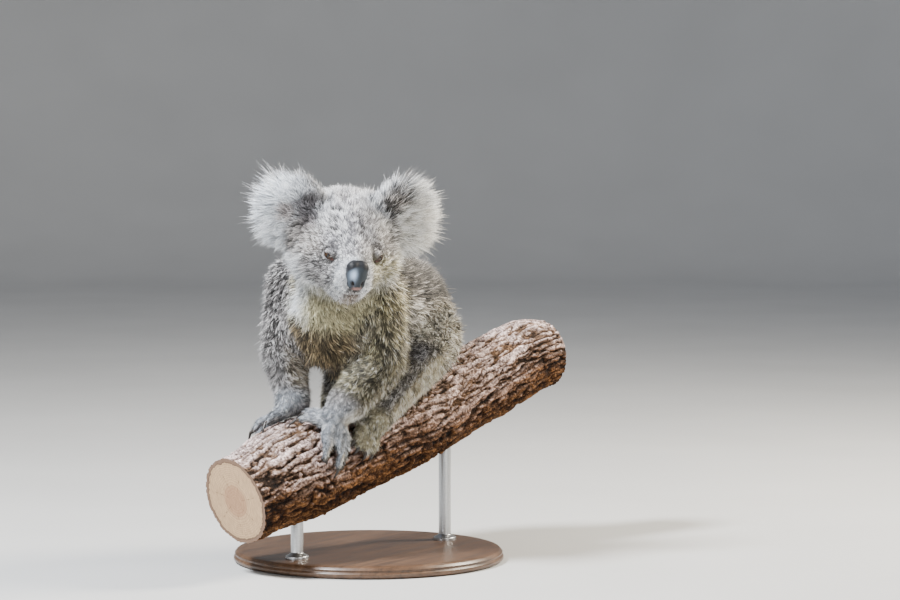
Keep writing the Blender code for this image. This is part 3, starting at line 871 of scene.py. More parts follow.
# The patches low under each ear's root, at 14 and 26 mm up, are painted shade under the ear; the left ear's
# dish is cream fur lifted past white by painted light.
# colour, whether on the dish or at the root, middle and reach in mm, roughness of edge, strength
EAR_PATCHES = {
    "left": (
        (CHEEK, False, (50, 20, 66), (20, 40, 20), 0.5, 0.55),
        (BEIGE_AND_PAINTED_LIGHT, True, (82, 38, 24), (26, 40, 34), 0.2, 1.0),
        (TEMPLE, False, (54, 26, 26), (10, 40, 24), 0.3, 0.45),
        (TEMPLE, False, (52, 25, 60), (14, 30, 15), 0.5, 0.8),
    ),
    "right": (
        (CHEEK, False, (50, 20, 66), (20, 40, 20), 0.5, 0.55),
        (TEMPLE, False, (58, 28, 14), (19, 40, 28), 0.4, 0.85),
        (DARK, False, (53, 25, 48), (16, 40, 22), 0.6, 0.80),
        (EAR_FOLD, True, (76, 37, 39), (10, 30, 11), 0.5, 0.6),
    ),
}


def paint_ears(colour, share, normals, local, blotch):
    """White fringes; a dark root above, a brown-grey one below that is painted shade under the ear, and
    a cream dish in the left ear, lifted past white by painted light.
    """
    front = -(normals @ HEAD_FRAME[:, 1])
    for side, sign in zip(SIDES, (1, -1)):
        own = local * (sign, 1, 1)
        near = share["ear"] * (own[:, 0] > 20)
        fringe = near * (0.74 + 0.26 * step(own[:, 0] + 6 * blotch, 62, 92))
        colour = mix(colour, WHITE, fringe * step(front, -0.7, 0.1))
        root = (share["ear"] + share["head"]) * step(front, -0.3, 0.3)
        for paint, on_dish, centre, reach, rough, strength in EAR_PATCHES[side]:
            patch = (near if on_dish else root) * spot(own, centre, reach, rough * blotch)
            colour = mix(colour, paint, patch * strength)
    return colour


def markings(points, normals, parts):
    """The coat's colour at each place, painted over part by part."""
    share = {part: parts[:, k] for k, part in enumerate(PARTS)}
    local = in_head(points) / MM
    blotch = noise(points, 0.020, 3) * 0.6 + noise(points, 0.008, 4) * 0.4
    colour = paint_body(GREY, share, points, normals, local, blotch)
    ruff = ruff_of(points, local, blotch) * (share["trunk"] + share["neck"] + share["upper_arm"])
    colour = mix(colour, KHAKI, ruff * 0.95)
    # white on the animal's right side of the bib: white fur, brightened as painted light of the cool key on
    # that side
    colour = mix(colour, WHITE, ruff * step(local[:, 0] + 6 * blotch, -30, -50) * 0.95)
    colour = paint_head(colour, share, points, normals, local, blotch)
    colour = paint_ears(colour, share, normals, local, blotch)
    return LIGHT * colour * (1 + 0.20 * noise(points, 0.0035, 5) + 0.12 * blotch)[:, None]


skin_colours = markings(skin, skin_normals, shares)
calm = ruff_of(skin, in_head(skin) / MM, noise(skin, 0.020, 3)) * (1 - shares[:, PARTS.index("head")])
print("mean colour of the coat:", skin_colours.mean(0).round(2))
print("knees at, mm:", [(knee_of(side) / MM).round(1).tolist() for side in SIDES])

# %% [markdown]
# ## The skin's finish
# Under the tufts the hide shows only in the gaps, so it takes the coat's colour darkened as painted
# shade for those gaps, with fine short hair as bump. The bare places are the lids, which are dark and
# moist, and the lips.

# %% Skin material and piece
LID_SKIN, LID_EDGE, LID_INSIDE = (0.050, 0.036, 0.033), (0.065, 0.040, 0.033), (0.02, 0.012, 0.010)
EYE_CORNER, LIP = (0.20, 0.085, 0.075), (0.10, 0.045, 0.04)


def skin_material():
    """The stored colour, streaked by fine noise, with hair-fine bump."""
    finish = Finish("hide under the coat", 0.82, Specular_IOR_Level=0.3)
    fine = finish.grain(900, 2)
    broad = finish.grain(140, 3)
    shade = finish.ramp(fine * 0.6 + broad * 0.4, (0.3, 0.55), (0.7, 1.15))
    colour = finish.shaded(shade)
    return finish.feed(Base_Color=colour, Normal=finish.bump(fine + broad, 0.0009, 0.8))


def bare_skin(points, colours):
    """Lid rims go dark and pinkish, and the mouth's line goes to a dull red."""
    for side in (0, 1):
        out, local = almond(points, side)
        inner = step((local[:, 0] if side else -local[:, 0]) / OPEN_WIDE, 0.55, 1.05)
        colours = mix(colours, LID_SKIN, step(out, 1.75, 1.40))
        colours = mix(colours, LID_EDGE, step(out, 1.34, 1.24))
        colours = mix(colours, EYE_CORNER, step(out, 1.40, 1.15) * inner * 0.7)
        colours = mix(colours, LID_INSIDE, step(out, 1.14, 1.02))
    height, reach = mouth_line(points)
    lip = bell(height, 0, 1.5 * MM) * reach
    return mix(colours, LIP, lip)


def add_skin():
    """The hide, its colour darkened as painted shade for the gaps in the coat, least where the coat is
    thin or pale.
    """
    mesh = add_mesh("skin", skin, skin_faces)
    # painted shade for the gaps between tufts: the coat's colour darkened, less on hands, feet and pale coat
    dark = 0.28 + 0.25 * (shares[:, PARTS.index("hand")] + shares[:, PARTS.index("foot")])
    dark = dark + 0.40 * step(skin_colours.mean(1), 0.6, 0.85)
    tint(mesh, bare_skin(skin, skin_colours * dark[:, None]))
    covers = [node for part in PARTS for node in nodes_of(part)]
    return place("skin", mesh, skin_material(), "coat_grey", covers)


add_skin()

# %% [markdown]
# ## How a tuft is made
# A tuft is a thin three-sided spike of a few faces. Its spine leaves the skin along the lie of the
# coat, lifts by its rise, sags back towards the body, and is drawn to the nearest of the scattered
# centres, as real hairs cling together at their tips. Long fur bends once on the way, and short fur
# is straight. All tufts of a part are made at once as one array.

# %% Roots
one, two, three = (skin[skin_faces[:, k]] for k in range(3))
SKIN_AREAS = np.linalg.norm(np.cross(two - one, three - one), axis=1)


def scatter(weight, count):
    """Roots spread over the faces by area times weight, one in each equal share of the running total."""
    total = np.cumsum(SKIN_AREAS * weight[skin_faces].mean(1))
    at = (np.arange(count) + rng.random(count)) / count * total[-1]
    face = np.minimum(np.searchsorted(total, at), len(total) - 1)
    first, second = rng.random((2, count))
    over = first + second > 1
    first, second = np.where(over, 1 - first, first), np.where(over, 1 - second, second)
    return face, np.stack([1 - first - second, first, second], 1)


def at_roots(values, roots):
    """A value of the skin's points, taken at the roots."""
    face, share = roots
    picked = values[skin_faces[face]]
    return (picked * share.reshape(share.shape + (1,) * (picked.ndim - 2))).sum(1)


# %% Spikes
CORNERS = np.arange(3)


def spikes(root, normal, lie, length, width, rise, sag, pull, bends):
    """Spine: root + way * length * t - normal * sag * length * t^2 + pull * t^1.4, with three-cornered
    rings that narrow along it and end in a point. Gives points, normals, shares of the way and faces."""
    count = len(root)
    way = unit(lie * np.cos(rise)[:, None] + normal * np.sin(rise)[:, None])
    stops = np.linspace(0, 1, bends + 2)
    spine = [
        root + way * (length * t)[:, None] - normal * (sag * length * t * t)[:, None] + pull * t**1.4
        for t in stops
    ]
    spine[0] = spine[0] - normal * 0.0006
    points, normals, along = [], [], []
    for k, t in enumerate(stops[:-1]):
        ahead = unit(spine[k + 1] - spine[k])
        side = unit(np.cross(normal, ahead))
        lift = np.cross(ahead, side)
        size = width * (1 - t) ** 0.6
        for corner in CORNERS:
            turn = math.pi / 2 + corner * 2 * math.pi / 3
            out = side * math.cos(turn) + lift * math.sin(turn) * 0.7
            points.append(spine[k] + out * size[:, None])
            normals.append(unit(0.62 * normal + 0.38 * unit(out) + 0.12 * ahead))
            along.append(np.full(count, t))
    points.append(spine[-1])
    normals.append(unit(0.8 * normal + 0.3 * way))
    along.append(np.ones(count))
    faces = []
    for k in range(bends):
        for corner in CORNERS:
            low, next_low = 3 * k + corner, 3 * k + (corner + 1) % 3
            faces += [(low, next_low, next_low + 3), (low, next_low + 3, low + 3)]
    faces += [(3 * bends + corner, 3 * bends + (corner + 1) % 3, 3 * bends + 3) for corner in CORNERS]
    many = len(points)
    faces = (np.array(faces)[None] + many * np.arange(count)[:, None, None]).reshape(-1, 3)
    return np.stack(points, 1), np.stack(normals, 1), np.stack(along, 1), faces


# %% Where each tuft sits on an unwrap of the skin
PATCH = 0.0015


def unwrap(points, owner, nodes):
    """Each node's skin, rolled off its long axis: the angle round it and the way along fill a tile."""
    places = np.zeros((len(points), 2))
    for tile, node in enumerate(nodes):
        own = owner == tile
        if own.any():
            corners, _ = merged(node)
            axes = np.linalg.svd(corners - corners.mean(0), full_matrices=False)[2]
            local = (points[own] - corners.mean(0)) @ axes.T
            high = (local[:, 0] - local[:, 0].min()) / max(np.ptp(local[:, 0]), 1e-6)
            turn = np.arctan2(local[:, 2], local[:, 1]) / (2 * math.pi) + 0.5
            places[own] = np.stack([(tile + 0.02 + 0.96 * turn) / len(nodes), 0.01 + 0.98 * high], 1)
    return places


def owner_of(points, nodes):
    """The node whose middle line is nearest, for places on the skin."""
    gaps = []
    for node in nodes:
        corners, _ = merged(node)
        axis = np.linalg.svd(corners - corners.mean(0), full_matrices=False)[2][0]
        half = np.abs((corners - corners.mean(0)) @ axis).max() * 0.8
        local = points - corners.mean(0)
        along = np.clip(local @ axis, -half, half)
        gaps.append(np.linalg.norm(local - along[:, None] * axis, axis=1))
    return np.argmin(gaps, axis=0)


# %% Finish of the coat


def coat_material():
    """The tuft's stored colour under a fine streak; dry, with a little sheen at grazing light."""
    finish = Finish("woolly coat", 0.62, Specular_IOR_Level=0.28, Sheen_Weight=0.12, Sheen_Roughness=0.5)
    fine = finish.grain(650, 2)
    shade = finish.ramp(fine, (0.25, 0.80), (0.75, 1.15))
    return finish.feed(Base_Color=finish.shaded(shade))


COAT = coat_material()

# %% [markdown]
# ## The coat
# Each part has its own length, width, rise and cling. The tufts are shortest on the hands, feet and
# muzzle, woolly on the back, shaggy on the cheeks, and longest on the rims of the ears. They leave
# the lids, the nose and the mouth free.

# %% Length, thickness and density of the fur
LENGTH = MM * by_part(
    head=7.5, ear=18, neck=16, trunk=15.5, upper_arm=12.5,
    forearm=9.5, hand=6.0, thigh=14, shank=10.5, foot=6.4,
)
WIDTH = MM * by_part(
    head=0.50, ear=0.56, neck=0.68, trunk=0.72, upper_arm=0.60,
    forearm=0.50, hand=0.36, thigh=0.68, shank=0.52, foot=0.36,
)
RISE = by_part(
    head=31, ear=26, neck=40, trunk=42, upper_arm=40,
    forearm=36, hand=26, thigh=42, shank=36, foot=26,
)
SAG, PALEST = 0.16, 0.94

local_skin = in_head(skin) / MM
from_nose = np.linalg.norm(skin - nose_tip, axis=1) / MM
head_share = shares[:, PARTS.index("head")]
face_short = 0.38 + 0.62 * step(from_nose, 22, 62)
for eye in eyes:
    face_short = np.minimum(face_short, 0.36 + 0.64 * step(np.linalg.norm(skin - eye, axis=1) / MM, 12, 34))
shaggy = step(np.abs(local_skin[:, 0]), 36, 56) * step(local_skin[:, 2], 6, -22) * head_share
LENGTH = LENGTH * (1 + head_share * (face_short - 1)) * (1 + 0.9 * shaggy)

bare = np.ones(len(skin))
for out in almonds:
    bare = np.minimum(bare, step(out, 1.25, 1.50))
mouth_height, mouth_reach = mouth_line(skin)
bare = np.minimum(bare, 1 - mouth_reach * step(np.abs(mouth_height) / MM, 1.6, 0.7))
bare = np.minimum(bare, step(off_the_nose(skin)[0] / MM, 0.2, 1.0))
calm_skin = calm[:, None]
RISE, LENGTH = RISE * (1 - 0.35 * calm), LENGTH * (1 - 0.30 * calm)
print("fur length, mm:", (LENGTH.min() / MM).round(1), "to", (LENGTH.max() / MM).round(1))


# %% Growing a group of parts
def grow(
    name, parts, count, bends, clump,
    pieces=1, cling=0.45, speckle=0.35, patchy=1.7, even=0.55, slot="coat_grey",
):
    """Scatters roots over the parts, shapes all the tufts, and cuts them from front to rear into pieces."""
    own = shares[:, [PARTS.index(part) for part in parts]].sum(1)
    roots = scatter(step(own, 0.35, 0.65) * bare / WIDTH, count)
    root, normal = at_roots(skin, roots), unit(at_roots(skin_normals, roots))
    lie, length, width = unit(at_roots(skin_lie, roots)), at_roots(LENGTH, roots), at_roots(WIDTH, roots)
    rise, colour = np.radians(at_roots(RISE, roots)), at_roots(skin_colours, roots)
    sway = noise(root, 0.018, 11) * 0.45 + noise(root, 0.007, 14) * 0.35 + rng.normal(0, 0.22, count)
    length = length * rng.uniform(0.72, 1.18, count) * (1 + 0.15 * noise(root, 0.012, 12))
    rise = rise + np.radians(11) * noise(root, 0.010, 13) + rng.normal(0, 0.17, count)
    strayed = root + 0.3 * clump * MM * rng.normal(0, 0.5, (count, 3))
    centre, own_number, inside = nearest_centre(strayed, clump * MM, 20)
    inside = np.clip(inside / 0.55, 0, 1)
    sway = sway + 0.9 * (own_number - 0.5)
    lie = unit(lie * np.cos(sway)[:, None] + np.cross(normal, lie) * np.sin(sway)[:, None])
    guard = rng.random(count) < (0.14 if "ear" in parts else 0.06)
    length = length * (0.82 + 0.28 * inside) * np.where(guard, 1.38 if "ear" in parts else 1.5, 1)
    width = width * np.where(guard, 0.9, 1)
    rise = rise + np.where(guard, 0.22, 0)
    rise = rise + np.radians(10) * (inside - 0.5)
    pull = (centre - root) - ((centre - root) * normal).sum(1, keepdims=True) * normal
    pull *= cling
    if "ear" in parts:
        rim = step(np.linalg.norm(root - middle("head"), axis=1) / MM, 70, 110)
        length = length * (0.75 + 0.75 * rim)
        low = step((root - middle("head")) @ HEAD_FRAME[:, 2], 0.035, 0.0) * rim
        length = length * (1 + 0.35 * low) * np.where(in_head(root)[:, 0] < 0, 1.12, 1)
        lie = unit(lie + np.array([0, 0, -0.35]) * rim[:, None] + np.array([0, 0, -0.35]) * low[:, None])
    width = width * rng.uniform(0.7, 1.2, count)
    points, normals, along, faces = spikes(root, normal, lie, length, width, rise, SAG, pull, bends)
    kind = rng.random(count)
    pale = step(colour.mean(1), 0.55, 0.80)
    strength = (1 - even * pale) * (1 - 0.6 * at_roots(calm_skin, roots)[:, 0])
    light = np.exp(strength * (rng.normal(0, speckle, count) + patchy * (own_number - 0.5)))
    # painted shade between clumps: tufts at a clump's edge are darkened, those in its middle lightened
    light = light * (1 + strength * (1.45 * inside**1.3 - 0.82))
    light = light * np.where(kind < 0.16, 1 - 0.7 * strength, np.where(kind > 0.80, 1 + 0.7 * strength, 1.0))
    # painted shade: tufts in the hollows between the digits are darkened
    light = light * (1 - 0.40 * at_roots(hollow[:, None], roots)[:, 0])
    root_tone = (0.14 + 0.40 * pale)[:, None]
    tone = light[:, None] * (root_tone + (1.22 - root_tone) * (0.55 * along + 0.45 * along**3))
    pieces_of = np.argsort(root[:, 1], kind="stable") if pieces > 1 else np.arange(count)
    nodes = [node for part in parts for node in nodes_of(part)]
    for k, chosen in enumerate(np.array_split(pieces_of, pieces)):
        per = faces[: len(faces) // count]
        many = points.shape[1]
        own_faces = (per[None] + many * np.arange(len(chosen))[:, None, None]).reshape(-1, 3)
        mesh = add_mesh(f"{name}_{k + 1}" if pieces > 1 else name, points[chosen].reshape(-1, 3), own_faces)
        layer = mesh.attributes.new("custom_normal", "FLOAT_VECTOR", "POINT")
        layer.data.foreach_set("vector", normals[chosen].astype(np.float32).ravel())
        tint(mesh, np.clip(colour[chosen][:, None] * tone[chosen][..., None], 0, PALEST).reshape(-1, 3))
        homes = unwrap(root[chosen], owner_of(root[chosen], nodes), nodes)
        turns = np.concatenate([np.tile(CORNERS, bends + 1), [0]]) * 2 * math.pi / 3
        offsets = PATCH * (1 - along[:1]).T * np.stack([np.cos(turns), np.sin(turns)], 1)
        lay_out(mesh, (homes[:, None] + offsets[None]).reshape(-1, 2))
        place(mesh.name, mesh, COAT, slot)


grow("coat_trunk", ("trunk", "neck"), 48000, 1, 4.8, pieces=3, speckle=0.45)
grow("coat_limbs", ("upper_arm", "thigh"), 30000, 1, 3.8, pieces=2, speckle=0.65, patchy=2.4)
grow("coat_ears", ("ear",), 18000, 1, 7.5, cling=0.5, speckle=0.5, even=0.45, slot="coat_pale")
grow("coat_head", ("head",), 60000, 0, 3.4, cling=0.35, speckle=0.85, patchy=3.2, even=0.15)
grow("coat_shins", ("forearm", "shank"), 56000, 0, 3.6, speckle=0.65, patchy=2.6)
grow("coat_hands_and_feet", ("hand", "foot"), 34000, 0, 4.6, speckle=0.6, patchy=2.4, slot="coat_pale")

# %% [markdown]
# ## Eyes
# Each eye is a fine ball with a slight swelling for the cornea. Its pole lies on the gaze, so the
# upright pupil, the streaked iris and the dark ring are plain functions of the angle from it.

# %% Grids that close on themselves


def grid_faces(rows, columns, closed=False, caps=()):
    """Quads of a grid of points; a closed grid joins its last column to its first. A cap fills the
    first or last row's ring with a strip of quads, each from one edge to the edge facing it."""
    across = np.arange(columns if closed else columns - 1)
    row = np.arange(rows - 1)[:, None] * columns
    right = (across + 1) % columns
    corners = [row + across, row + right, row + columns + right, row + columns + across]
    faces = np.stack(corners, -1).reshape(-1, 4)
    k = np.arange(columns // 2 - 1)
    strip = np.stack([k + 1, k, columns - 1 - k, columns - 2 - k], 1)
    ends = {"first": strip, "last": strip[:, ::-1] + (rows - 1) * columns}
    return np.concatenate([faces, *(ends[cap] for cap in caps)])


def turned(profile, columns):
    """A profile of (radius, height) rows carried round the vertical in even steps of the turn."""
    turn = np.arange(columns) * 2 * math.pi / columns
    radius, high = profile[:, :1], profile[:, 1:]
    return np.stack([radius * np.cos(turn), radius * np.sin(turn), np.repeat(high, columns, 1)], -1)


# %% Eyes
EYE_ROWS, EYE_COLUMNS, POLE = 72, 96, 0.004
IRIS, STREAK, IRIS_EDGE = (0.026, 0.013, 0.007), (0.060, 0.034, 0.017), (0.020, 0.010, 0.006)
EYE_RING, PUPIL = (0.045, 0.026, 0.020), (0.004, 0.003, 0.003)
EYE_GLOSS = {"Coat_Weight": 0.25, "Coat_Roughness": 0.03, "Specular_IOR_Level": 0.35}


def add_eye(side):
    """Angles t from the gaze and p round it; radius swells by 3.5% over the cornea."""
    t = np.linspace(POLE, math.pi - POLE, EYE_ROWS)[:, None]
    p = np.arange(EYE_COLUMNS) * 2 * math.pi / EYE_COLUMNS
    radius = EYE_RADIUS * (0.985 + 0.035 * bell(t, 0, 0.5))
    flat = radius * np.sin(t)
    local = np.stack([flat * np.cos(p), flat * np.sin(p), radius * np.cos(t) + 0 * p], -1)
    points = eyes[side] + local.reshape(-1, 3) @ eye_frame(side).T
    faces = grid_faces(EYE_ROWS, EYE_COLUMNS, closed=True, caps=("first", "last"))[:, ::-1]
    mesh = add_mesh(f"eyeball_{SIDES[side]}", points, faces)
    angle = np.repeat(t, EYE_COLUMNS, 1).ravel()
    round_it = np.tile(p, EYE_ROWS)
    upright = np.hypot(local[..., 0].ravel() / 0.42, local[..., 1].ravel()) / EYE_RADIUS
    streak = 0.5 + 0.5 * np.sin(round_it * 37 + 2 * np.sin(round_it * 11)) * np.sin(round_it * 23)
    colour = mix(IRIS, STREAK, streak * step(angle, 0.75, 0.35))
    colour = mix(colour, IRIS_EDGE, step(angle, 0.62, 0.78))
    colour = mix(colour, EYE_RING, step(angle, 0.85, 0.95))
    colour = mix(colour, PUPIL, step(upright, 0.42, 0.35))
    tint(mesh, colour)
    finish = Finish(f"wet eye {SIDES[side]}", 0.16, **EYE_GLOSS)
    mottle = finish.ramp(finish.grain(700, 2), (0.3, 0.85), (0.7, 1.1))
    material = finish.feed(Base_Color=finish.shaded(mottle))
    place(f"eyeball_{SIDES[side]}", mesh, material, "eye_brown", [f"eye_{SIDES[side]}"])


for side in (0, 1):
    add_eye(side)

# %% [markdown]
# ## Nose
# A koala's nose is a long bare shield of dark leather. The solid is remeshed fine and eased, and
# then gets a nostril pressed in at each lower side, a low rim and a groove between them, and a
# painted highlight, a pale bluish streak on the front towards the animal's right. Small cells of
# leather are bump.

# %% Nose


NOSE_SIDE, NOSE_FRONT, NOSE_HIGHLIGHT = (0.012, 0.014, 0.018), (0.022, 0.030, 0.038), (0.42, 0.54, 0.72)
NOSE_TOP, NOSE_BELOW, NOSTRIL = (0.010, 0.011, 0.014), (0.30, 0.17, 0.15), (0.012, 0.009, 0.009)


def leather():
    """Slate leather: the stored colour, cells of a millimetre as bump, and a soft wet gloss."""
    finish = Finish("nose leather", 0.5, Specular_IOR_Level=0.30)
    where = {"Vector": finish.place(), "Scale": 950}
    cells = finish.node("ShaderNodeTexVoronoi", {"feature": "DISTANCE_TO_EDGE"}, where)
    fine = finish.grain(1500, 2)
    height = finish.ramp(cells, (0.0, 0), (0.35, 1))
    mottle = finish.ramp(fine, (0.3, (0.85, 0.85, 0.86)), (0.7, 1.12))
    colour = finish.shaded(mottle)
    rough = finish.grain(400, 2) * 0.3 + 0.36
    return finish.feed(Base_Color=colour, Roughness=rough, Normal=finish.bump(height, 0.00010, 0.5))


def add_nose():
    """Moves the nose's points along their normals by bell-shaped hollows and rims, and tints them."""
    points, quads = nose_points, nose_quads
    normal = normals_of(points, quads)
    local = (points - nose_tip) @ HEAD_FRAME / MM
    side = np.abs(local[:, 0])
    front = step(-(normal @ HEAD_FRAME[:, 1]), 0.0, 0.5)
    across = (side - 6.6 - 0.25 * (local[:, 2] + 10)) / 2.0
    nostril = np.exp(-(across**2) - (((local[:, 2] + 10.5) / 3.4) ** 2)) * front
    groove = bell(side, 0, 0.9) * step(local[:, 2], -5, -12) * front
    rim = bell(side, 3.6, 1.6) * bell(local[:, 2], -12, 3.5) * front
    points = points - normal * (MM * (3.2 * nostril + 0.8 * groove - 0.5 * rim))[:, None]
    mesh = add_mesh("nose_shield", points, quads)
    colour = mix(NOSE_SIDE, NOSE_FRONT, step(front, 0.5, 1.0))
    # painted highlight: a pale bluish streak on the front of the nose, towards the animal's right
    painted_highlight = np.exp(-(((local[:, 0] + 6.5) / 3.8) ** 2) - (((local[:, 2] - 2.0) / 8.0) ** 2))
    painted_highlight = painted_highlight * step(front, -0.2, 0.5)
    colour = mix(colour, NOSE_HIGHLIGHT, painted_highlight)
    colour = mix(colour, NOSE_TOP, step(local[:, 2] + 0.04 * side**2, 9, 14))
    colour = mix(colour, NOSE_BELOW, step(local[:, 2], -13, -16) * step(side, 8, 3) * 0.9)
    colour = mix(colour, NOSTRIL, np.clip(1.5 * nostril, 0, 1))
    tint(mesh, colour)
    place("nose_shield", mesh, leather(), "nose_leather", ["nose"])


add_nose()

# %% [markdown]
# ## Claws
# Long, curved and dark. Each solid is remeshed fine and eased, and its tip is drawn to the closest
# place on the branch. The horn is darker towards the tip and is streaked by fine growth lines.

# %% Claws


HORN_ROOT, HORN_TIP = (0.16, 0.125, 0.10), (0.022, 0.018, 0.016)


def horn():
    """The stored colour with streaks that also change the gloss and the bump."""
    finish = Finish("claw horn", 0.36, Specular_IOR_Level=0.5)
    lines = finish.grain(260, 3, Distortion=0.6)
    shade = finish.ramp(lines, (0.35, 0.6), (0.65, 1.2))
    colour = finish.shaded(shade)
    rough = lines * 0.25 + 0.25
    return finish.feed(Base_Color=colour, Roughness=rough, Normal=finish.bump(lines, 0.0004, 0.5))


HORN = horn()
PERCH = BVHTree.FromPolygons(*(rows.tolist() for rows in merged("perch")))


def hook(points, far):
    """Bends a claw towards the perch: its tip goes to the closest place on it, its root stays."""
    tip = points[far.argmax()]
    gap = tip - np.array(PERCH.find_nearest(Vector(tip))[0])
    return points - step(far, 0.1, 1.0)[:, None] * gap


for name in sorted(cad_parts):
    if name.startswith("claw_"):
        limb = middle(name.replace("claw_", "").rsplit("_", 1)[0])
        points, quads = fine_copy(name, 0.0007, 4, 0.0003)
        far = np.linalg.norm(points - limb, axis=1)
        far = (far - far.min()) / np.ptp(far)
        mesh = add_mesh(name.replace("claw", "nail"), hook(points, far), quads)
        tint(mesh, mix(HORN_ROOT, HORN_TIP, step(far, 0.0, 0.6)))
        place(mesh.name, mesh, HORN, "claw_horn", [name])

# %% [markdown]
# ## The branch
# A cut length of gum branch with rough, furrowed bark. The solid is sliced at stations along its
# length for its middle line and radius. The bark is a fine grid round and along that line, raised
# into long ridges that wander, part and are cracked across, with loose flakes at their edges.

# %% Slices of the branch


def slices(node, stations):
    """Middle and half-size of a node's cut at each station along y, where its edges cross the cut."""
    points, faces = merged(node)
    start, end = points[edges_of(faces)].transpose(1, 0, 2)
    found = []
    for y in stations:
        rise = end[:, 1] - start[:, 1]
        share = (y - start[:, 1]) / np.where(np.abs(rise) < 1e-9, np.inf, rise)
        cut = (start + share[:, None] * (end - start))[(share > 0) & (share < 1)]
        low, high = cut.min(0), cut.max(0)
        found.append([*((low + high) / 2), (high - low)[0] / 2])
    return np.array(found)


perch_low, perch_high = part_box("perch")
stations = np.linspace(perch_low[1] + 0.026, perch_high[1] - 0.026, 60)
cuts = slices("perch", stations)
WIDE = np.arange(perch_low[1] - 0.060, perch_high[1] + 0.060, 0.002)


def eased(values, reach=0.014):
    """The stations' values carried on straight past both ends, then averaged with a bell-shaped weight."""
    first = (values[3] - values[0]) / (stations[3] - stations[0])
    last = (values[-1] - values[-4]) / (stations[-1] - stations[-4])
    line = np.interp(WIDE, stations, values)
    line += np.minimum(WIDE - stations[0], 0) * first + np.maximum(WIDE - stations[-1], 0) * last
    weight = bell(WIDE[:, None], WIDE, reach)
    return weight @ line / weight.sum(1)


PATH_X, PATH_Z = eased(cuts[:, 0]), eased(cuts[:, 2])
WAY_X, WAY_Z = np.gradient(PATH_X, WIDE), np.gradient(PATH_Z, WIDE)
RADIUS = eased(cuts[:, 3] / np.hypot(1, np.interp(stations, WIDE, WAY_X)))
print("branch radius, mm:", (cuts[[0, 30, -1], 3] * 1000).round(1))


def at(along, table):
    """A table over the stations, read at places along the branch."""
    return np.interp(along, WIDE, table)


# %% Bark


def bark_relief(turn, along):
    """Height of the bark from 0 in a furrow to 1 on a plate. Scattered centres, squeezed lengthwise, part
    the surface into long plates; smaller ones crack the plates; the borders between them are furrows."""
    ring = 0.058
    round_it = np.stack([np.cos(turn) * ring, np.sin(turn) * ring, along], 1)
    angle = turn + 0.9 * along + 0.05 * noise(round_it, 0.05, 30)
    round_it = np.stack([np.cos(angle) * ring, np.sin(angle) * ring, along], 1)
    warp = [times * noise(round_it, 0.013, seed) for times, seed in ((1, 31), (1, 32), (2.4, 33))]
    warp = 0.0038 * np.stack(warp, 1)
    tone, border = nearest_centre((round_it + warp) * (1, 1, 0.085), 0.0105, 34)[1:]
    tone_small, border_small = nearest_centre((round_it + 1.3 * warp) * (1, 1, 0.16), 0.0060, 38)[1:]
    flake, border_flake = nearest_centre((round_it + 0.3 * warp) * (1, 1, 0.32), 0.0040, 44)[1:]
    crumb = noise(round_it * (1, 1, 0.5), 0.0046, 39) + noise(round_it * (1, 1, 0.7), 0.0029, 37)
    furrow = step(border + 0.05 * crumb, 0.0, 0.17)
    crack = step(border_small + 0.10 * crumb, 0.0, 0.24)
    chip = 0.4 + 0.6 * step(border_flake, 0.0, 0.25)
    plate = 0.38 + 0.20 * tone + crack * (0.12 + 0.18 * tone_small) + 0.20 * flake * chip
    return furrow * plate + 0.10 * crumb, crumb + 1.8 * (flake - 0.5)


def bark_material():
    """Stored colour from the relief, with crumbs of a few millimetres, fibres along it and fine pits."""
    finish = Finish("gum bark", 0.88, Specular_IOR_Level=0.2)
    where = finish.place()
    fibre = finish.grain(60, 6, finish.stretched(where, (4.0, 1.1, 4.0)), Roughness=0.7)
    crumb = finish.grain(330, 4, where, Roughness=0.65)
    pit = finish.node("ShaderNodeTexVoronoi", None, {"Vector": where, "Scale": 420, "Randomness": 1.0})
    stops = (0.41, (0.22, 0.19, 0.18)), (0.50, (0.85, 0.84, 0.83)), (0.59, (1.65, 1.65, 1.66))
    shade = finish.ramp(fibre * 0.4 + crumb * 0.6, *stops)
    colour = finish.shaded(shade)
    return finish.feed(Base_Color=colour, Normal=finish.bump(fibre * 0.4 + crumb + pit * 0.25, 0.0065, 1.0))


BARK_DEPTH, BARK_ROWS, BARK_COLUMNS = 5.2 * MM, 400, 236
FURROW, BARK_SIDE, BARK_TOP = (0.045, 0.025, 0.015), (0.28, 0.175, 0.115), (0.98, 0.79, 0.77)
RUST, BARK_SHADE_BELOW = (0.36, 0.20, 0.10), (0.19, 0.105, 0.036)


def branch_points(turn, along, lift):
    """Places at an angle round the middle line and a way along it, lifted off the fitted radius."""
    way = unit(np.stack([at(along, WAY_X), np.ones_like(along), at(along, WAY_Z)], -1))
    up = np.array([0, 0, 1.0]) - way[..., 2:] * way
    up = unit(up)
    side = np.cross(way, up)
    centre = np.stack([at(along, PATH_X), along, at(along, PATH_Z)], -1)
    radius = at(along, RADIUS) + lift
    return centre + radius[..., None] * (np.cos(turn)[..., None] * up + np.sin(turn)[..., None] * side)


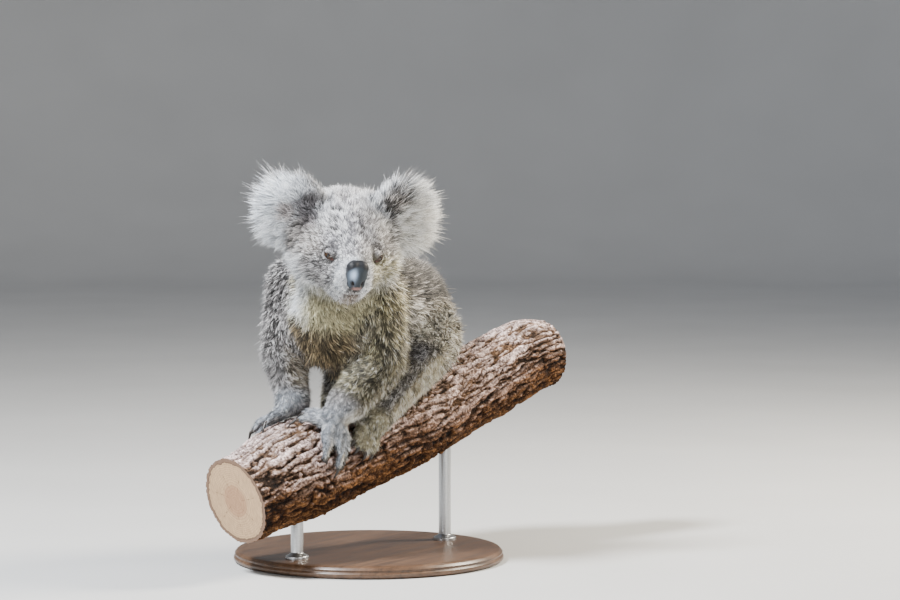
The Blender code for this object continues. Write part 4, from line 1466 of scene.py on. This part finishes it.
def add_bark():
    """A grid of angle and way along, lifted off the radius by the relief and tinted by it, with painted
    shade where it faces down.
    """
    rows, columns = BARK_ROWS, BARK_COLUMNS
    low, high = END_STATIONS
    along = np.repeat(np.linspace(low, high, rows)[:, None], columns, 1)
    turn = np.repeat((np.arange(columns) * 2 * math.pi / columns)[None], rows, 0)
    relief, fine = (values.reshape(rows, columns) for values in bark_relief(turn.ravel(), along.ravel()))
    edge = step(along, low, low + 0.006) * step(along, high, high - 0.006)
    lift = 0.6 * MM + BARK_DEPTH * (np.clip(relief, 0, 1.1) - 1) * (0.45 + 0.55 * edge)
    points = branch_points(turn, along, lift).reshape(-1, 3)
    faces = grid_faces(rows, columns, closed=True)
    mesh = add_mesh("bark", points, faces)
    ridge, tone = np.clip(relief, 0, 1).ravel(), noise(points, 0.045, 40) + 0.5 * noise(points, 0.016, 41)
    # dark furrows and pale ridge tops: the bark's own colours, deepened by painted shade in the furrows and
    # lifted by painted highlight on the tops
    colour = mix(FURROW, BARK_SIDE, step(ridge, 0.05, 0.40))
    colour = mix(colour, BARK_TOP, step(ridge + 0.10 * tone, 0.40, 0.88) * 0.9)
    colour = mix(colour, RUST, step(tone, 0.2, 0.9) * 0.30)
    # painted shade: the bark goes darker and more orange where it faces down
    up = np.cos(turn).ravel() * 0.6 + normals_of(points, faces)[:, 2] * 0.4
    colour = colour * mix(BARK_SHADE_BELOW, (1.0, 1.0, 1.0), step(up + 0.20 * tone, -0.35, 1.0))
    tint(mesh, colour * np.clip(1 + 0.28 * fine.ravel(), 0.35, 1.6)[:, None])
    place("bark", mesh, bark_material(), "bark", ["perch"])


# %% [markdown]
# The two cut faces are sawn flat. Each is a disc of rings that closes the bark: a rim of bark, a
# thin dark line, and pale wood with yearly rings and a few fine cracks that run out from the heart.

# %% Ends of the branch


def end_station(high):
    """The station whose leaning cut just stays inside the solid's box, by its radius and its lean."""
    along = (perch_high if high else perch_low)[1]
    sign = 1 if high else -1
    lean = math.hypot(at(along, WAY_X), at(along, WAY_Z))
    return along - sign * (math.sin(math.atan(lean)) * at(along, RADIUS) + 0.4 * MM)


def wood():
    """Sawn gum wood: rings and cracks come stored, and saw marks are fine bump."""
    finish = Finish("sawn wood", 0.72, Specular_IOR_Level=0.3)
    where = finish.place()
    fine = finish.grain(500, 3, finish.stretched(where, (1.0, 1.0, 0.12)))
    shade = finish.ramp(fine, (0.3, (0.84, 0.82, 0.80)), (0.7, (1.12, 1.12, 1.1)))
    colour = finish.shaded(shade)
    return finish.feed(Base_Color=colour, Normal=finish.bump(fine, 0.0006, 0.6))


WOOD = wood()
PALE_WOOD, YEAR_RING, HEART = (0.52, 0.36, 0.215), (0.37, 0.225, 0.125), (0.33, 0.17, 0.10)
CRACK, DARK_LINE, BARK_RIM = (0.06, 0.035, 0.02), (0.10, 0.055, 0.035), (0.20, 0.125, 0.085)


def add_end(name, along, sign):
    """Rings of a disc from the heart to the bark's edge; yearly rings are a wave of the wobbling radius."""
    rows, columns = 64, BARK_COLUMNS
    share = np.linspace(0.002, 1, rows)[:, None] + np.zeros(columns)
    turn = np.repeat((np.arange(columns) * 2 * math.pi / columns)[None], rows, 0)
    flat = np.full(share.shape, along)
    relief = bark_relief(turn[-1], flat[-1])[0]
    edge_lift = 0.6 * MM + BARK_DEPTH * (np.clip(relief, 0, 1.1) - 1) * 0.45
    outer = at(along, RADIUS) + edge_lift
    lift = share * outer[None] - at(along, RADIUS)
    points = branch_points(turn, flat, lift).reshape(-1, 3)
    faces = grid_faces(rows, columns, closed=True, caps=("first",))
    mesh = add_mesh(name, points, faces if sign < 0 else faces[:, ::-1])
    radius, angle = share.ravel(), turn.ravel()
    wobble = radius + 0.018 * noise(np.stack([np.cos(angle), np.sin(angle), radius * 2], 1), 0.5, 50)
    ring = 0.5 + 0.5 * np.cos(wobble * 2 * math.pi * 17 + 2.0 * np.sin(wobble * 9))
    colour = mix(PALE_WOOD, YEAR_RING, ring**3 * 0.85)
    colour = mix(colour, HEART, step(radius, 0.46, 0.30) * 0.6)
    crack = bell(np.sin(angle * 3.5 + 1.2 + 0.5 * wobble), 0, 0.014 + 0.02 * (1 - radius))
    crack = crack * step(radius, 0.10, 0.25) * step(radius, 0.86, 0.6)
    colour = mix(colour, CRACK, crack * 0.9)
    colour = mix(colour, DARK_LINE, step(wobble, 0.895, 0.905))
    colour = mix(colour, BARK_RIM, step(wobble, 0.915, 0.93))
    tint(mesh, colour)
    place(name, mesh, WOOD, "bark", ["perch"])


END_STATIONS = (end_station(False), end_station(True))
add_bark()
add_end("cut_end_low", END_STATIONS[0], -1)
add_end("cut_end_high", END_STATIONS[1], 1)

# %% [markdown]
# ## The stand
# A plain museum stand: a turned wooden base with a moulded edge, and two brushed steel rods that
# rise from small collars on it into the branch. Profiles are carried round upright axes.

# %% Stand
AXIS = 0.0005


def stained_wood():
    """Dark stained wood: long grain from noise squeezed along one axis, under a satin lacquer."""
    finish = Finish("stained base wood", 0.4, Coat_Weight=0.25, Coat_Roughness=0.25, Specular_IOR_Level=0.45)
    where = finish.stretched(finish.place(), (14.0, 0.9, 14.0))
    grain = finish.grain(8, 6, where, Roughness=0.62, Distortion=0.5)
    pores = finish.grain(60, 3, where)
    stops = (0.3, (0.050, 0.026, 0.014)), (0.55, (0.115, 0.060, 0.032)), (0.75, (0.175, 0.098, 0.055))
    shade = finish.ramp(grain, *stops)
    colour = finish.blend(0.5, shade, finish.ramp(pores, (0.35, 0.4), (0.6, 1.1)), "MULTIPLY")
    return finish.feed(Base_Color=colour, Roughness=grain * 0.2 + 0.3, Normal=finish.bump(pores, 0.0003, 0.4))


def steel():
    """Brushed steel: fine rings of scratches round the rod from noise stretched along it."""
    finish = Finish("brushed steel", 0.3, Metallic=1.0)
    where = finish.stretched(finish.place(), (30.0, 30.0, 600.0))
    brush = finish.grain(6, 4, where)
    colour = finish.ramp(brush, (0.3, (0.50, 0.51, 0.52)), (0.7, (0.66, 0.67, 0.68)))
    rough = brush * 0.2 + 0.22
    return finish.feed(Base_Color=colour, Roughness=rough, Normal=finish.bump(brush, 0.0001, 0.4))


def rounded(corners, radius, steps=6):
    """A profile with its corners cut by short curves, each between points on the corner's two sides."""
    corners = np.array(corners)
    path = [corners[:1]]
    for before, corner, after in zip(corners, corners[1:], corners[2:]):
        reach = min(radius, 0.45 * np.linalg.norm(before - corner), 0.45 * np.linalg.norm(after - corner))
        start, end = corner + unit(before - corner) * reach, corner + unit(after - corner) * reach
        t = np.linspace(0, 1, steps)[:, None]
        path.append((1 - t) ** 2 * start + 2 * t * (1 - t) * corner + t**2 * end)
    return np.concatenate([*path, corners[-1:]])


def add_turned(name, profile, centre, material, slot, covers, columns):
    """A turned piece round an upright axis, with both of its ends closed."""
    points = turned(profile, columns).reshape(-1, 3) + (centre[0], centre[1], 0)
    mesh = add_mesh(name, points, grid_faces(len(profile), columns, closed=True, caps=("first", "last")))
    return place(name, mesh, material, slot, covers)


def add_stand():
    """The base's moulded edge and the rods with their collars, as profiles from the solids' boxes."""
    low, high = (np.array(corner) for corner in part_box("stand_base"))
    wide, tall = (high - low)[0] / 2, high[2]
    outline = [
        (AXIS, 0), (wide - 0.004, 0), (wide, 0.003), (wide, 0.0065), (wide - 0.0022, 0.0085),
        (wide - 0.0022, 0.0100), (wide - 0.0010, 0.0112), (wide - 0.0045, tall - 0.0008),
        (wide - 0.012, tall), (AXIS, tall),
    ]
    edge, lacquered = rounded(outline, 0.0014), stained_wood()
    add_turned("turned_base", edge, (0, 0), lacquered, "stand_wood", ["stand_base"], 220)
    metal = steel()
    for end in ("front", "rear"):
        node = f"stand_rod_{end}"
        low, high = (np.array(corner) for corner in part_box(node))
        radius, centre = (high - low)[0] / 2, (low + high) / 2
        collar = radius + 0.007
        outline = [
            (AXIS, tall - 0.002), (collar, tall - 0.002), (collar, tall + 0.0035),
            (radius + 0.002, tall + 0.006), (radius, tall + 0.0075), (radius, high[2]), (AXIS, high[2]),
        ]
        add_turned(f"rod_{end}", rounded(outline, 0.0010), centre, metal, "stand_steel", [node], 64)


add_stand()

# %% [markdown]
# ## Floor, wall and light
# A plain pale floor runs up into a plain wall. A cool key light hangs to the upper left, a
# weaker warm one stands behind to the right, and two faint ones in front open up the shadows.

# %% Stage
FLOOR_COLUMNS = 128


def add_stage():
    """A round floor that bends up into a wall on every side: a profile carried round the vertical."""
    bend = np.linspace(0, math.pi / 2, 24)
    curve = np.stack([5.5 + 1.5 * np.sin(bend), 1.5 - 1.5 * np.cos(bend)], 1)
    profile = np.concatenate([[[0.001, 0]], curve, [[7.0, 6.5]]])
    faces = grid_faces(len(profile), FLOOR_COLUMNS, closed=True)
    mesh = add_mesh("floor_and_wall", turned(profile, FLOOR_COLUMNS).reshape(-1, 3), faces)
    finish = Finish("pale studio paper", 0.9, Specular_IOR_Level=0.2)
    shade = finish.ramp(finish.grain(3, 2), (0.3, (0.55, 0.55, 0.545)), (0.7, (0.58, 0.58, 0.575)))
    mesh.materials.append(finish.feed(Base_Color=shade))
    floor = bpy.data.objects.new("floor_and_wall", mesh)
    bpy.context.scene.collection.objects.link(floor)


add_stage()


# %% Lights
def add_light(name, place_of, aim, size, power, colour):
    """An area light at a place, turned so that its face looks at the aim."""
    data = bpy.data.lights.new(name, "AREA")
    data.shape, data.size, data.energy, data.color = "DISK", size, power, colour
    lamp = bpy.data.objects.new(name, data)
    lamp.location = place_of
    lamp.rotation_euler = (Vector(aim) - Vector(place_of)).to_track_quat("-Z", "Y").to_euler()
    bpy.context.scene.collection.objects.link(lamp)


def around(right, near, high):
    """A place by steps to the camera's right, towards it and up."""
    flat = Vector((VIEW_BACK.x, VIEW_BACK.y, 0)).normalized()
    return right * VIEW_RIGHT + near * flat + Vector((0, 0, high))


CENTRE = (0, 0, 0.33)
add_light("key", around(-1.3, 1.0, 2.2), CENTRE, 0.5, 195, (0.94, 0.97, 1.0))
add_light("fill", around(-1.7, 1.9, 0.6), CENTRE, 1.0, 12, (0.90, 0.95, 1.0))
add_light("rim", around(1.9, -0.5, 1.6), CENTRE, 0.8, 130, (1.0, 0.91, 0.76))
add_light("front", around(1.4, 2.2, 1.0), CENTRE, 1.2, 22, (1.0, 0.95, 0.86))
world = bpy.data.worlds.new("studio")
bpy.context.scene.world = world
world.use_nodes = True
world.node_tree.nodes["Background"].inputs["Color"].default_value = (0.80, 0.86, 1.0, 1)
world.node_tree.nodes["Background"].inputs["Strength"].default_value = 0.30
